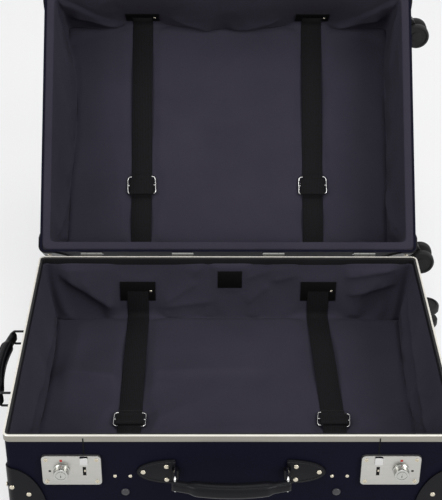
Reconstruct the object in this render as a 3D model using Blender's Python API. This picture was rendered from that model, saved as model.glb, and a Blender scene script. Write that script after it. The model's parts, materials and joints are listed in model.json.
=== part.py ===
"""A hard-shell trolley case with four casters, lying open on its back. Metres, +Z up.

The case is drawn shut and its lid is then turned back about the hinge line, so both halves share
one outline. X runs along the case with the casters at +X, Y runs from the locks at -Y to the
hinges at +Y, and Z is zero on the ground under the leather corners of the base.

A "half" is the base or the lid. Inside a half, a height is measured from the flat outer face of
its shell towards the rim, and an inset is measured inwards from the outline of the metal rim.
"""

import math
from dataclasses import dataclass

import bmesh
import bpy
from mathutils import Matrix, Vector

# Case
CASE_LENGTH = 0.530
CASE_WIDTH = 0.385
BASE_DEPTH = 0.120
LID_DEPTH = 0.112
LID_OPEN_DEG = 130.0
SHELL_WALL = 0.003
CORNER_RADIUS = 0.008
EDGE_RADIUS = 0.005
LID_SEAM = 0.0006
GAP = 0.0003

# Metal rim of the base
RIM_SHEET = 0.0012
RIM_BAND = 0.009
RIM_INNER = 0.0105

# Batten round the edge of the lid, under the lining
BATTEN_WIDTH = 0.0095
BATTEN_DEPTH = 0.009

# Linings
LINING_SHEET = 0.001
BASE_FLOOR_RISE = 0.0235
LID_FLOOR_RISE = 0.0065
LINING_DRAW_IN = 0.009
LINING_DRAW_UP = 0.011
LINING_SLACK = 0.0030
LINING_FOLDS_LONG = 7
LINING_FOLDS_SHORT = 5

# Leather corners
LEATHER = 0.0018
CORNER_REACH = 0.046
BASE_CORNER_RISE = 0.071
LID_CORNER_RISE = 0.124

# Hinges
HINGE_END_INSET = 0.073
HINGE_WIDTH = 0.030
HINGE_LEAF_HEIGHT = 0.020
HINGE_LEAF_SHEET = 0.0014
KNUCKLE_RADIUS = 0.0036
KNUCKLE_END = 0.008
HINGE_PIN_RADIUS = 0.0014
HINGE_CLEARANCE = 0.0004

# Locks
LOCK_END_INSET = 0.078
LOCK_DROP = 0.051
LOCK_WIDTH = 0.070
LOCK_HEIGHT = 0.044
LOCK_THICKNESS = 0.004
LOCK_CORNER = 0.005
LOCK_BEVEL = 0.001
KNOB_OFFSET = 0.0118
KNOB_LIFT = 0.0015
KNOB_RADIUS = 0.0098
KNOB_LENGTH = 0.012
KEYWAY_WIDTH = 0.0012
KEYWAY_LENGTH = 0.006
WINDOW_OFFSET = 0.0150
WINDOW_WIDTH = 0.004
WINDOW_HEIGHT = 0.013
WINDOW_LIFT = -0.0005
WINDOW_DEPTH = 0.0022
CATCH_WIDTH = 0.010
CATCH_HEIGHT = 0.011
CATCH_PROUD = 0.0035
HASP_WIDTH = 0.016
HASP_HEIGHT = 0.024
HASP_SHEET = 0.002
HASP_TONGUE_WIDTH = 0.009
HASP_TIP_CLEARANCE = 0.0015

# Leather handles on rings
RING_SPACING = 0.131
RING_REACH = 0.021
RING_HEIGHT = 0.020
RING_WIRE = 0.0016
RING_BEND = 0.0036
RING_CLEARANCE = 0.0004
TAB_LENGTH = 0.044
TAB_HEIGHT = 0.036
TAB_LEATHER = 0.0025
LOOP_LEATHER = 0.0024
LOOP_HEIGHT = 0.0135
GRIP_DEPTH = 0.016
GRIP_HEIGHT = 0.018
GRIP_BOW = 0.009
GRIP_NECK_DEPTH = 0.0105
GRIP_NECK_HEIGHT = 0.0135
FRONT_HANDLE_DROP = 0.0545
END_HANDLE_DROP = 0.0485

# Trolley
TROLLEY_SPACING = 0.100
TROLLEY_RISE = 0.0128
ROD_RADIUS = 0.005
ROD_END_INSET = 0.0968
GUIDE_CLEARANCE = 0.0004
GUIDE_SHEET = 0.0014
GUIDE_END_INSET = 0.0688
FACE_PLATE_LENGTH = 0.150
FACE_PLATE_HEIGHT = 0.021
FACE_PLATE_SHEET = 0.003
TROLLEY_GRIP_LENGTH = 0.140
TROLLEY_GRIP_HEIGHT = 0.022
TROLLEY_GRIP_DEPTH = 0.012
TROLLEY_FINGER_GAP = 0.009

# Packing straps
STRAP_END_INSET = 0.137
STRAP_WIDTH = 0.030
STRAP_SHEET = 0.0016
PATCH_WIDTH = 0.050
PATCH_HEIGHT = 0.032
PATCH_SHEET = 0.0018
BASE_PATCH_DROP = 0.053
LID_PATCH_DROP = 0.060
BUCKLE_LENGTH = 0.028
BUCKLE_WIDTH = 0.043
BUCKLE_SHEET = 0.002
BUCKLE_BAR = 0.005
BUCKLE_RIM = 0.0045
BASE_BUCKLE_INSET = 0.1415
LID_BUCKLE_INSET = 0.114

# Casters
CASTER_SIDE_INSET = 0.020
CASTER_FACE_INSET = 0.023
CASTER_TRAIL = 0.019
CASTER_MOUNT_RADIUS = 0.014
CASTER_MOUNT_SHEET = 0.0022
WHEEL_RADIUS = 0.0185
WHEEL_WIDTH = 0.010
WHEEL_SPLIT = 0.014
WHEEL_WALL_CLEARANCE = 0.0036
AXLE_RADIUS = 0.0025
AXLE_CLEARANCE = 0.0004
FORK_SIDE_CLEARANCE = 0.0006
FORK_DISC_RADIUS = 0.0100
FORK_DISC_SHEET = 0.0030
FORK_EYE = 0.0068

# Facets
OUTLINE_STEPS = 5
EDGE_STEPS = 3
ROUND_STEPS = 16
WHEEL_STEPS = 20
WIRE_SIDES = 6
BARREL_SIDES = 12
FOLD_POINTS = 5

# Heights that follow from the sizes above
SHELL_BOTTOM = LEATHER + GAP
RIM_Z = SHELL_BOTTOM + BASE_DEPTH
CASE_TOP = RIM_Z + LID_SEAM + LID_DEPTH
RIM_WIDTH = SHELL_WALL + 2 * (RIM_SHEET + GAP)
KNUCKLE_Y = CASE_WIDTH / 2 + GAP + KNUCKLE_RADIUS
HINGE_LINE = Vector((0.0, KNUCKLE_Y, RIM_Z + LID_SEAM / 2))

# Places along and across the case that follow from its outline
HINGE_OUTER = CASE_LENGTH / 2 - HINGE_END_INSET
HINGE_PLACES = (-HINGE_OUTER, -HINGE_OUTER / 3, HINGE_OUTER / 3, HINGE_OUTER)
LOCK_PLACE = CASE_LENGTH / 2 - LOCK_END_INSET
STRAP_PLACE = CASE_LENGTH / 2 - STRAP_END_INSET
BASE_BUCKLE_Y = BASE_BUCKLE_INSET - CASE_WIDTH / 2
LID_BUCKLE_Y = CASE_WIDTH / 2 - LID_BUCKLE_INSET
ROD_END_X = CASE_LENGTH / 2 - ROD_END_INSET
GUIDE_END_X = CASE_LENGTH / 2 - GUIDE_END_INSET


@dataclass(frozen=True)
class Half:
    """One half of the case, with the way its heights and insets run."""

    name: str
    depth: float
    face_z: float
    upward: int
    wall_inset: float
    floor_rise: float
    corner_rise: float

    def z(self, height):
        """World height of a point at this height above the half's outer face, with the case shut."""
        return self.face_z + self.upward * height


BASE = Half("base", BASE_DEPTH, SHELL_BOTTOM, 1, RIM_SHEET + GAP, BASE_FLOOR_RISE, BASE_CORNER_RISE)
LID = Half("lid", LID_DEPTH, CASE_TOP, -1, 0.0, LID_FLOOR_RISE, LID_CORNER_RISE)


def clear_scene():
    """Removes every object that is in the scene."""
    for old in list(bpy.data.objects):
        bpy.data.objects.remove(old)


def principled(name, colour, roughness, metallic=0.0):
    """A material with one Principled shader."""
    made = bpy.data.materials.new(name)
    made.use_nodes = True
    shader = made.node_tree.nodes["Principled BSDF"]
    shader.inputs["Base Color"].default_value = (*colour, 1.0)
    shader.inputs["Roughness"].default_value = roughness
    shader.inputs["Metallic"].default_value = metallic
    made.diffuse_color = (*colour, 1.0)
    return made


def empty(name, location=(0.0, 0.0, 0.0), turn_x=0.0):
    """An empty that carries one half."""
    made = bpy.data.objects.new(name, None)
    made.location = location
    made.rotation_euler = (turn_x, 0.0, 0.0)
    bpy.context.scene.collection.objects.link(made)
    return made


def face_outward(mesh_data):
    """Turns every face of a closed body outwards."""
    bmesh.ops.recalc_face_normals(mesh_data, faces=mesh_data.faces)
    if mesh_data.calc_volume(signed=True) < 0:
        bmesh.ops.reverse_faces(mesh_data, faces=mesh_data.faces)


def add(name, mesh_data, material, carrier, pivot=(0.0, 0.0, 0.0)):
    """Makes an object from a bmesh drawn in the shut case, with its origin at the pivot.

    The carrier is a pair: the empty that carries the piece, and that empty's place in the shut case.
    """
    root, root_place = carrier
    face_outward(mesh_data)
    mesh_data.transform(Matrix.Translation(-Vector(pivot)))
    mesh = bpy.data.meshes.new(name)
    mesh_data.to_mesh(mesh)
    mesh_data.free()
    mesh.materials.append(material)
    mesh.shade_smooth()
    mesh.set_sharp_from_angle(angle=math.radians(35))
    made = bpy.data.objects.new(name, mesh)
    bpy.context.scene.collection.objects.link(made)
    made.parent = root
    made.location = Vector(pivot) - root_place
    return made


def combine(first, second, operation):
    """Runs a Boolean between two bmeshes and returns the result as a bmesh."""
    objects = []
    for source in (first, second):
        face_outward(source)
        mesh = bpy.data.meshes.new("operand")
        source.to_mesh(mesh)
        source.free()
        helper = bpy.data.objects.new("operand", mesh)
        bpy.context.scene.collection.objects.link(helper)
        objects.append(helper)
    target, tool = objects
    modifier = target.modifiers.new("combine", "BOOLEAN")
    modifier.operation = operation
    modifier.object = tool
    modifier.solver = "EXACT"
    graph = bpy.context.evaluated_depsgraph_get()
    result = bmesh.new()
    result.from_object(target, graph)
    for helper in objects:
        mesh = helper.data
        bpy.data.objects.remove(helper)
        bpy.data.meshes.remove(mesh)
    return result


def cut(body, tool):
    """Takes the tool out of the body."""
    return combine(body, tool, "DIFFERENCE")


def fuse(body, other):
    """Joins two overlapping bodies."""
    return combine(body, other, "UNION")


def rounded_outline(length, width, radius, steps=OUTLINE_STEPS):
    """Points of a rectangle with round corners, anticlockwise, centred on the origin."""
    points = []
    for quarter, (side_x, side_y) in enumerate(((1, 1), (-1, 1), (-1, -1), (1, -1))):
        centre = Vector((side_x * (length / 2 - radius), side_y * (width / 2 - radius)))
        for step in range(steps + 1):
            angle = math.radians(90 * (quarter + step / steps))
            points.append(centre + radius * Vector((math.cos(angle), math.sin(angle))))
    return points


def case_outline(inset, steps=OUTLINE_STEPS):
    """The case's outline, seen from above, at this inset."""
    radius = max(CORNER_RADIUS - inset, EDGE_RADIUS / 2)
    return rounded_outline(CASE_LENGTH - 2 * inset, CASE_WIDTH - 2 * inset, radius, steps)


def loft(loops, closed=False, turn=None):
    """A body through loops with equally many points: capped at both ends, or closed into a ring.

    With a turn, the side faces are split, along the other diagonal before that loop, so that the two
    faces of a thin sheet stay parallel.
    """
    made = bmesh.new()
    rows = [[made.verts.new(point) for point in loop] for loop in loops]
    pairs = list(zip(rows, rows[1:]))
    if closed:
        pairs.append((rows[-1], rows[0]))
    else:
        made.faces.new(rows[0])
        made.faces.new(rows[-1])
    for place, (low, high) in enumerate(pairs):
        for index in range(len(low)):
            after = (index + 1) % len(low)
            corners = (low[index], low[after], high[after], high[index])
            if turn is None:
                made.faces.new(corners)
                continue
            first = 1 if place < turn else 0
            made.faces.new((corners[first], corners[first + 1], corners[first + 2]))
            made.faces.new((corners[first], corners[first + 2], corners[(first + 3) % 4]))
    return made


def level(outline, z):
    """A flat outline lifted to a height."""
    return [Vector((point.x, point.y, z)) for point in outline]


def block(low, high):
    """A box between two corners."""
    made = bmesh.new()
    size = Vector(high) - Vector(low)
    middle = (Vector(high) + Vector(low)) / 2
    bmesh.ops.create_cube(made, size=1.0, matrix=Matrix.Translation(middle) @ Matrix.Diagonal((*size, 1.0)))
    return made


def rod(start, end, radius, sides=ROUND_STEPS):
    """A cylinder from one point to another."""
    start, end = Vector(start), Vector(end)
    along = end - start
    turn = along.to_track_quat("Z", "Y").to_matrix().to_4x4()
    matrix = Matrix.Translation((start + end) / 2) @ turn
    made = bmesh.new()
    bmesh.ops.create_cone(
        made, cap_ends=True, segments=sides, radius1=radius, radius2=radius, depth=along.length, matrix=matrix
    )
    return made


def turned(profile, steps=WHEEL_STEPS):
    """A body of revolution about local Z, from (radius, z) points that start and end on the axis."""
    inner = profile[1:-1]
    loops = []
    for radius, z in inner:
        loops.append([
            Vector((radius * math.cos(math.tau * k / steps), radius * math.sin(math.tau * k / steps), z))
            for k in range(steps)
        ])
    return loft(loops)


def swept_ring(half, section):
    """A ring round the case from a closed section of (inset, height) points."""
    return loft([level(case_outline(inset), half.z(height)) for inset, height in section], closed=True)


def wire_ring(points, radius):
    """A closed wire along a loop of points."""
    count = len(points)
    loops = []
    for index, point in enumerate(points):
        along = (points[(index + 1) % count] - points[index - 1]).normalized()
        side = along.cross(Vector((1.0, 0.0, 0.0))).normalized()
        across = side.cross(along)
        loops.append([
            point + radius * (math.cos(math.tau * k / WIRE_SIDES) * side + math.sin(math.tau * k / WIRE_SIDES) * across)
            for k in range(WIRE_SIDES)
        ])
    return loft(loops, closed=True)


def shell_loops(inset, depth, half):
    """Loops of a tray's skin from its flat face, round its edge and up to the rim."""
    loops = []
    edge = EDGE_RADIUS - (inset - half.wall_inset)
    start = inset - half.wall_inset
    for step in range(EDGE_STEPS + 1):
        angle = math.radians(90 * step / EDGE_STEPS)
        turn_in = edge * (1 - math.sin(angle))
        rise = edge * (1 - math.cos(angle))
        loops.append(level(case_outline(inset + turn_in), half.z(start + rise)))
    loops.append(level(case_outline(inset), half.z(depth)))
    return loops


def shell(half, depth):
    """The pressed tray of one half."""
    outside = shell_loops(half.wall_inset, depth, half)
    inside = shell_loops(half.wall_inset + SHELL_WALL, depth, half)
    return loft(outside + inside[::-1])


def lining_section(half):
    """Where the lining's inner face runs, as (inset, height, slack) from its lip to its floor."""
    floor = half.floor_rise
    if half is BASE:
        wall = half.wall_inset + SHELL_WALL + GAP + LINING_SHEET
        lip = [(wall, half.depth - RIM_INNER - GAP, 0.0)]
    else:
        wall = SHELL_WALL + 2 * GAP + BATTEN_WIDTH + LINING_SHEET
        lip = [
            (SHELL_WALL + GAP, half.depth - GAP, 0.0),
            (wall, half.depth - GAP, 0.0),
            (wall, half.depth - 2 * GAP - LINING_SHEET - BATTEN_DEPTH, 0.0),
        ]
    draw = []
    for step in range(FOLD_POINTS):
        angle = math.radians(90 * step / (FOLD_POINTS - 1))
        inset = wall + LINING_SLACK + LINING_DRAW_IN * (1 - math.cos(angle))
        height = floor + LINING_DRAW_UP * (1 - math.sin(angle))
        draw.append((inset, height, LINING_SLACK * math.cos(angle)))
    return lip + draw


def lining_outline(inset, slack):
    """The lining's outline at one level, let out towards the shell in shallow folds along each side."""
    corner = max(CORNER_RADIUS - inset, EDGE_RADIUS / 2)
    length = CASE_LENGTH - 2 * inset
    width = CASE_WIDTH - 2 * inset
    arcs = rounded_outline(length, width, corner)
    points = []
    per_corner = OUTLINE_STEPS + 1
    for side, folds in enumerate((LINING_FOLDS_LONG, LINING_FOLDS_SHORT) * 2):
        points += arcs[side * per_corner:(side + 1) * per_corner]
        start = arcs[(side + 1) * per_corner - 1]
        end = arcs[((side + 1) * per_corner) % len(arcs)]
        outward = Vector((0.0, 1.0, 0.0)) if side % 2 == 0 else Vector((-1.0, 0.0, 0.0))
        if side >= 2:
            outward = -outward
        count = 2 * folds
        for step in range(1, count):
            share = step / count
            let_out = slack * math.sin(math.pi * folds * share) ** 2
            points.append(start.lerp(end, share) + let_out * outward.to_2d())
    return points


def lining(half):
    """A thin loose lining that hangs from the edge of one half."""
    section = lining_section(half)
    inner = [level(lining_outline(inset, slack), half.z(height)) for inset, height, slack in section]
    outer = []
    for index, (inset, height, slack) in enumerate(section):
        last = index == len(section) - 1
        flat_lip = half is LID and index < 2
        out = 0.0 if last or (half is LID and index == 0) else LINING_SHEET
        down = LINING_SHEET if last or flat_lip else 0.0
        if len(section) - FOLD_POINTS <= index and not last:
            above = section[index - 1]
            below = section[index + 1]
            slope = Vector((below[0] - above[0], below[1] - above[1])).normalized()
            out = -slope.y * LINING_SHEET
            down = slope.x * LINING_SHEET
        outer.append(level(lining_outline(inset - out, slack), half.z(height - down)))
    return loft(outer[::-1] + inner, turn=len(outer) - 1)


def strap_path(half, buckle_y, patch_drop):
    """The strap's middle line, as (y, height): down the front wall, over the floor and up the back wall."""
    lift = GAP + STRAP_SHEET / 2
    section = lining_section(half)
    top = half.depth - patch_drop
    floor = half.floor_rise
    wall_line = [(inset, height) for inset, height, slack in section[-FOLD_POINTS:]]
    wall_line.insert(0, (wall_line[0][0], top))
    side = []
    for index, (inset, height) in enumerate(wall_line):
        before = wall_line[max(index - 1, 0)]
        after = wall_line[min(index + 1, len(wall_line) - 1)]
        slope = Vector((after[0] - before[0], after[1] - before[1])).normalized()
        side.append((inset - slope.y * lift, height + slope.x * lift))
    front = [(-CASE_WIDTH / 2 + inset, height) for inset, height in side]
    back = [(CASE_WIDTH / 2 - inset, height) for inset, height in reversed(side)]
    front[-1] = (front[-1][0], floor + lift)
    back[0] = (back[0][0], floor + lift)
    low = floor + lift
    high = low + STRAP_SHEET + BUCKLE_SHEET + 2 * GAP
    foot = BUCKLE_LENGTH / 2 - BUCKLE_RIM - GAP
    crest = BUCKLE_BAR / 2 + GAP
    hump = [(-foot, low), (-crest, high), (crest, high), (foot, low)]
    return front + [(buckle_y + y, height) for y, height in hump] + back


def strap(half, x, buckle_y, patch_drop):
    """One webbing strap with the patch that holds it at either end."""
    path = [Vector((y, half.z(height))) for y, height in strap_path(half, buckle_y, patch_drop)]
    above = []
    below = []
    for index, point in enumerate(path):
        before = path[max(index - 1, 0)]
        after = path[min(index + 1, len(path) - 1)]
        along = (after - before).normalized()
        bend = 1.0
        if 0 < index < len(path) - 1:
            bend = math.cos((point - before).angle_signed(after - point) / 2)
        normal = Vector((-along.y, along.x)) * (STRAP_SHEET / 2 / bend)
        above.append(point + normal)
        below.append(point - normal)
    edge = above + below[::-1]
    sides = (x - STRAP_WIDTH / 2, x + STRAP_WIDTH / 2)
    made = loft([[Vector((side, point.x, point.y)) for point in edge] for side in sides])
    for end, inward in ((path[0], 1), (path[-1], -1)):
        face = end.x - inward * (STRAP_SHEET / 2 - GAP)
        low = min(face, face + inward * (STRAP_SHEET + PATCH_SHEET))
        patch = block(
            (x - PATCH_WIDTH / 2, low, end.y - PATCH_HEIGHT / 2),
            (x + PATCH_WIDTH / 2, low + STRAP_SHEET + PATCH_SHEET, end.y + PATCH_HEIGHT / 2),
        )
        made = fuse(made, patch)
    return made


def buckle(half, x, buckle_y):
    """A slide buckle: the strap runs under its ends and over its middle bar."""
    under = half.floor_rise + GAP + STRAP_SHEET + GAP
    levels = (half.z(under), half.z(under + BUCKLE_SHEET))
    outline = rounded_outline(BUCKLE_WIDTH, BUCKLE_LENGTH, BUCKLE_RIM)
    at = Matrix.Translation((x, buckle_y, 0.0))
    made = loft([level(outline, z) for z in levels])
    slot_half = STRAP_WIDTH / 2 + 2 * GAP
    reach = BUCKLE_LENGTH / 2 - BUCKLE_RIM
    low_z, high_z = min(levels) - BUCKLE_SHEET, max(levels) + BUCKLE_SHEET
    for near, far in ((BUCKLE_BAR / 2, reach), (-reach, -BUCKLE_BAR / 2)):
        made = cut(made, block((-slot_half, near, low_z), (slot_half, far, high_z)))
    made.transform(at)
    return made


def leather_corner(half, side_x, side_y):
    """A leather corner, riveted over three faces of the shell and trimmed to a round outline."""
    def skin(stand_off):
        loops = []
        edge = EDGE_RADIUS + stand_off
        for step in range(EDGE_STEPS + 1):
            angle = math.radians(90 * step / EDGE_STEPS)
            inset = half.wall_inset - stand_off + edge * (1 - math.sin(angle))
            height = edge * (1 - math.cos(angle)) - stand_off
            outline = rounded_outline(
                CASE_LENGTH - 2 * inset, CASE_WIDTH - 2 * inset, CORNER_RADIUS - inset
            )
            loops.append(level(outline, half.z(height)))
        inset = half.wall_inset - stand_off
        outline = rounded_outline(CASE_LENGTH - 2 * inset, CASE_WIDTH - 2 * inset, CORNER_RADIUS - inset)
        loops.append(level(outline, half.z(half.depth - GAP)))
        return loops

    outside = skin(GAP + LEATHER)
    inside = skin(GAP)
    top_cover = [[point + Vector((0.0, 0.0, half.upward * GAP)) for point in inside[-1]]]
    patch = bmesh.new()
    corner = Vector((side_x * CASE_LENGTH / 2, side_y * CASE_WIDTH / 2, half.z(0.0)))
    scale = Matrix.Diagonal((CORNER_REACH, CORNER_REACH, half.corner_rise, 1.0))
    bmesh.ops.create_uvsphere(
        patch, u_segments=2 * BARREL_SIDES, v_segments=BARREL_SIDES, radius=1.0,
        matrix=Matrix.Translation(corner) @ scale,
    )
    made = combine(patch, loft(outside), "INTERSECT")
    made = cut(made, loft(inside + top_cover))
    if side_x > 0:
        made = cut(made, caster_seat(half, side_y, CASTER_MOUNT_RADIUS + GAP))
    return made


def caster_centre(half, side_y):
    """Where a caster's swivel axis meets the shell's end wall, with the case shut."""
    return Vector((
        CASE_LENGTH / 2 - half.wall_inset,
        side_y * (CASE_WIDTH / 2 - CASTER_SIDE_INSET),
        half.z(CASTER_FACE_INSET),
    ))


def caster_seat(half, side_y, radius):
    """The round hole in a leather corner that a caster's mount sits in."""
    centre = caster_centre(half, side_y)
    reach = Vector((LEATHER + 4 * GAP, 0.0, 0.0))
    return rod(centre - reach, centre + 2 * reach, radius)


def hinge_leaf(x, upward):
    """A hinge leaf: the base's has two end knuckles and the pin, the lid's has the middle knuckle."""
    wall = CASE_WIDTH / 2 + GAP
    hinge_z = HINGE_LINE.z
    clear = KNUCKLE_RADIUS + HINGE_CLEARANCE
    low = Vector((x - HINGE_WIDTH / 2, wall, hinge_z + clear))
    high = Vector((x + HINGE_WIDTH / 2, wall + HINGE_LEAF_SHEET, hinge_z + HINGE_LEAF_HEIGHT))
    middle = HINGE_WIDTH / 2 - KNUCKLE_END
    if upward:
        spans = [(x - middle + HINGE_CLEARANCE, x + middle - HINGE_CLEARANCE)]
    else:
        low.z, high.z = 2 * hinge_z - high.z, 2 * hinge_z - low.z
        spans = [(x - HINGE_WIDTH / 2, x - middle), (x + middle, x + HINGE_WIDTH / 2)]
    made = block(low, high)
    for start, end in spans:
        overlap = HINGE_LEAF_SHEET if upward else -HINGE_LEAF_SHEET
        neck_end = hinge_z + (clear if upward else -clear) + overlap
        neck = block(
            (start + GAP, wall + GAP, min(hinge_z, neck_end)),
            (end - GAP, wall + HINGE_LEAF_SHEET - GAP, max(hinge_z, neck_end)),
        )
        made = fuse(made, neck)
        made = fuse(made, rod(
            (start, KNUCKLE_Y, hinge_z), (end, KNUCKLE_Y, hinge_z), KNUCKLE_RADIUS, BARREL_SIDES,
        ))
    pin_start = (x - HINGE_WIDTH / 2 + GAP, KNUCKLE_Y, hinge_z)
    pin_end = (x + HINGE_WIDTH / 2 - GAP, KNUCKLE_Y, hinge_z)
    if upward:
        return cut(made, rod(
            (x - HINGE_WIDTH, KNUCKLE_Y, hinge_z), (x + HINGE_WIDTH, KNUCKLE_Y, hinge_z),
            HINGE_PIN_RADIUS + HINGE_CLEARANCE, BARREL_SIDES,
        ))
    return fuse(made, rod(pin_start, pin_end, HINGE_PIN_RADIUS, BARREL_SIDES))


def front_wall_y():
    """Outer face of the base shell's front wall."""
    return -(CASE_WIDTH / 2 - BASE.wall_inset)


def facing_front(points_xz, y):
    """Points of an upright outline on a plane of constant Y."""
    return [Vector((point.x, y, point.y)) for point in points_xz]


def lock_plate(side):
    """A lock's cover plate with its window and the catch at its top edge."""
    wall = front_wall_y() - GAP
    outline = rounded_outline(LOCK_WIDTH, LOCK_HEIGHT, LOCK_CORNER)
    face = rounded_outline(LOCK_WIDTH - 2 * LOCK_BEVEL, LOCK_HEIGHT - 2 * LOCK_BEVEL, LOCK_CORNER - LOCK_BEVEL)
    made = loft([
        facing_front(outline, wall),
        facing_front(outline, wall - LOCK_THICKNESS + LOCK_BEVEL),
        facing_front(face, wall - LOCK_THICKNESS),
    ])
    front = wall - LOCK_THICKNESS
    window_x = -side * WINDOW_OFFSET
    catch_low = LOCK_HEIGHT / 2 - CATCH_HEIGHT
    catch = block(
        (window_x - CATCH_WIDTH / 2, front - CATCH_PROUD, catch_low),
        (window_x + CATCH_WIDTH / 2, front + LOCK_BEVEL * 2, LOCK_HEIGHT / 2 - GAP),
    )
    bevel_edges = [e for e in catch.edges if all(v.co.y < front - CATCH_PROUD / 2 for v in e.verts)]
    bmesh.ops.bevel(catch, geom=bevel_edges, offset=CATCH_PROUD / 2, segments=3, affect="EDGES", profile=0.5)
    made = fuse(made, catch)
    made = cut(made, block(
        (window_x - WINDOW_WIDTH / 2, front - WINDOW_DEPTH, WINDOW_LIFT - WINDOW_HEIGHT / 2),
        (window_x + WINDOW_WIDTH / 2, front + WINDOW_DEPTH, WINDOW_LIFT + WINDOW_HEIGHT / 2),
    ))
    made.transform(Matrix.Translation((side * LOCK_PLACE, 0.0, RIM_Z - LOCK_DROP)))
    return made


def knob_axis(side):
    """The centre of a lock's knob, on the face of its plate."""
    return Vector((
        side * (LOCK_PLACE + KNOB_OFFSET), front_wall_y() - GAP - LOCK_THICKNESS, RIM_Z - LOCK_DROP + KNOB_LIFT,
    ))


def lock_knob(side):
    """The round key knob with its waist, its pointer rib and its keyway."""
    rim = KNOB_RADIUS
    face = KNOB_RADIUS * 0.76
    length = KNOB_LENGTH
    profile = [
        (0.0, 0.0), (rim, 0.0), (rim, length * 0.2), (rim * 0.9, length * 0.3),
        (face * 1.08, length * 0.75), (face * 1.08, length * 0.92), (face * 0.95, length), (0.0, length),
    ]
    made = turned(profile)
    rib = block(
        (-KEYWAY_WIDTH, rim * 0.55, length * 0.15), (KEYWAY_WIDTH, rim * 0.98, length * 0.7)
    )
    made = fuse(made, rib)
    made = cut(made, block(
        (-KEYWAY_WIDTH / 2, -KEYWAY_LENGTH / 2, length - KEYWAY_WIDTH),
        (KEYWAY_WIDTH / 2, KEYWAY_LENGTH / 2, length + KEYWAY_WIDTH),
    ))
    outward = Matrix.Translation((0.0, -GAP, 0.0)) @ Matrix.Rotation(math.radians(90), 4, "X")
    made.transform(Matrix.Translation(knob_axis(side)) @ outward)
    return made


def hasp(side):
    """The lid's fixed hasp: a plate on the front wall with a tongue down to the lock's catch."""
    wall = -CASE_WIDTH / 2 - GAP
    lid_edge = RIM_Z + LID_SEAM
    tip = RIM_Z - LOCK_DROP + LOCK_HEIGHT / 2 + HASP_TIP_CLEARANCE
    x = side * (LOCK_PLACE - WINDOW_OFFSET)
    outline = rounded_outline(HASP_WIDTH, HASP_HEIGHT, HASP_WIDTH / 4)
    made = loft([facing_front(outline, wall), facing_front(outline, wall - HASP_SHEET)])
    made.transform(Matrix.Translation((x, 0.0, lid_edge + HASP_HEIGHT / 2)))
    tongue = block(
        (x - HASP_TONGUE_WIDTH / 2, wall - HASP_SHEET * 0.9, tip),
        (x + HASP_TONGUE_WIDTH / 2, wall - HASP_SHEET * 0.05, lid_edge + HASP_HEIGHT / 2),
    )
    return fuse(made, tongue)


def ring_inner():
    """How far a ring's inner wire stands off the wall that its tab lies on."""
    return GAP + LOOP_LEATHER + RING_CLEARANCE + RING_WIRE


def handle_tab(side):
    """A half-round leather tab on the wall, folded round its ring. The wall is y 0 and faces -y."""
    x = RING_SPACING / 2
    outline = [Vector((x, -TAB_HEIGHT / 2))]
    for step in range(ROUND_STEPS + 1):
        angle = math.radians(-90 + 180 * step / ROUND_STEPS)
        bulge = Vector((TAB_LENGTH * math.cos(angle), TAB_HEIGHT / 2 * math.sin(angle)))
        outline.append(Vector((x + RING_WIRE, 0.0)) + bulge)
    outline.append(Vector((x, TAB_HEIGHT / 2)))
    made = loft([facing_front(outline, -GAP), facing_front(outline, -GAP - TAB_LEATHER)])
    barrel_y = -ring_inner()
    radius = LOOP_LEATHER + RING_CLEARANCE + RING_WIRE
    made = fuse(made, rod((x, barrel_y, -LOOP_HEIGHT / 2), (x, barrel_y, LOOP_HEIGHT / 2), radius))
    bore = RING_WIRE + RING_CLEARANCE
    made = cut(made, rod((x, barrel_y, -TAB_HEIGHT), (x, barrel_y, TAB_HEIGHT), bore))
    if side < 0:
        made.transform(Matrix.Scale(-1.0, 4, (1.0, 0.0, 0.0)))
    return made


def handle_ring(side):
    """A wire ring that stands out from the wall, its plane across the handle."""
    x = side * RING_SPACING / 2
    inner = -ring_inner()
    outline = rounded_outline(RING_REACH, RING_HEIGHT, RING_BEND, steps=3)
    points = [Vector((x, inner - RING_REACH / 2 - point.x, point.y)) for point in outline]
    return wire_ring(points, RING_WIRE)


def handle_grip():
    """The padded leather grip, bowed out between the two rings and looped round their outer wires."""
    wire_y = -(ring_inner() + RING_REACH)
    half_span = RING_SPACING / 2
    neck = RING_REACH * 0.7
    end = LOOP_LEATHER + RING_CLEARANCE + RING_WIRE
    stations = [
        (-half_span - end, 0.45), (-half_span - end * 0.6, 0.8), (-half_span, 1.0), (-half_span + neck, 1.0),
        (-half_span + neck * 1.6, 1.0), (-half_span * 0.4, 1.0),
    ]
    stations += [(0.0, 1.0)] + [(-x, size) for x, size in reversed(stations)]
    loops = []
    for x, size in stations:
        share = min(max((half_span - abs(x) - neck) / (neck * 0.6), 0.0), 1.0)
        deep = (GRIP_NECK_DEPTH + (GRIP_DEPTH - GRIP_NECK_DEPTH) * share) * size
        tall = GRIP_NECK_HEIGHT + (GRIP_HEIGHT - GRIP_NECK_HEIGHT) * share
        bow = GRIP_BOW * max(1 - (x / half_span) ** 2, 0.0)
        corner = min(deep, tall) * 0.42
        outline = rounded_outline(deep, tall, corner, steps=2)
        loops.append([Vector((x, wire_y - bow + point.x, point.y)) for point in outline])
    made = loft(loops)
    bore = RING_WIRE + RING_CLEARANCE
    for side in (-1, 1):
        x = side * half_span
        made = cut(made, rod((x, wire_y, -GRIP_HEIGHT), (x, wire_y, GRIP_HEIGHT), bore))
    return made


def front_handle_frame():
    """Places a handle drawn on the wall y 0 on the front wall of the base."""
    return Matrix.Translation((0.0, front_wall_y(), RIM_Z - FRONT_HANDLE_DROP))


def end_handle_frame():
    """Places a handle drawn on the wall y 0 on the end wall at -X."""
    wall_x = -(CASE_LENGTH / 2 - BASE.wall_inset)
    return Matrix.Translation((wall_x, 0.0, RIM_Z - END_HANDLE_DROP)) @ Matrix.Rotation(math.radians(-90), 4, "Z")


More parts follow.
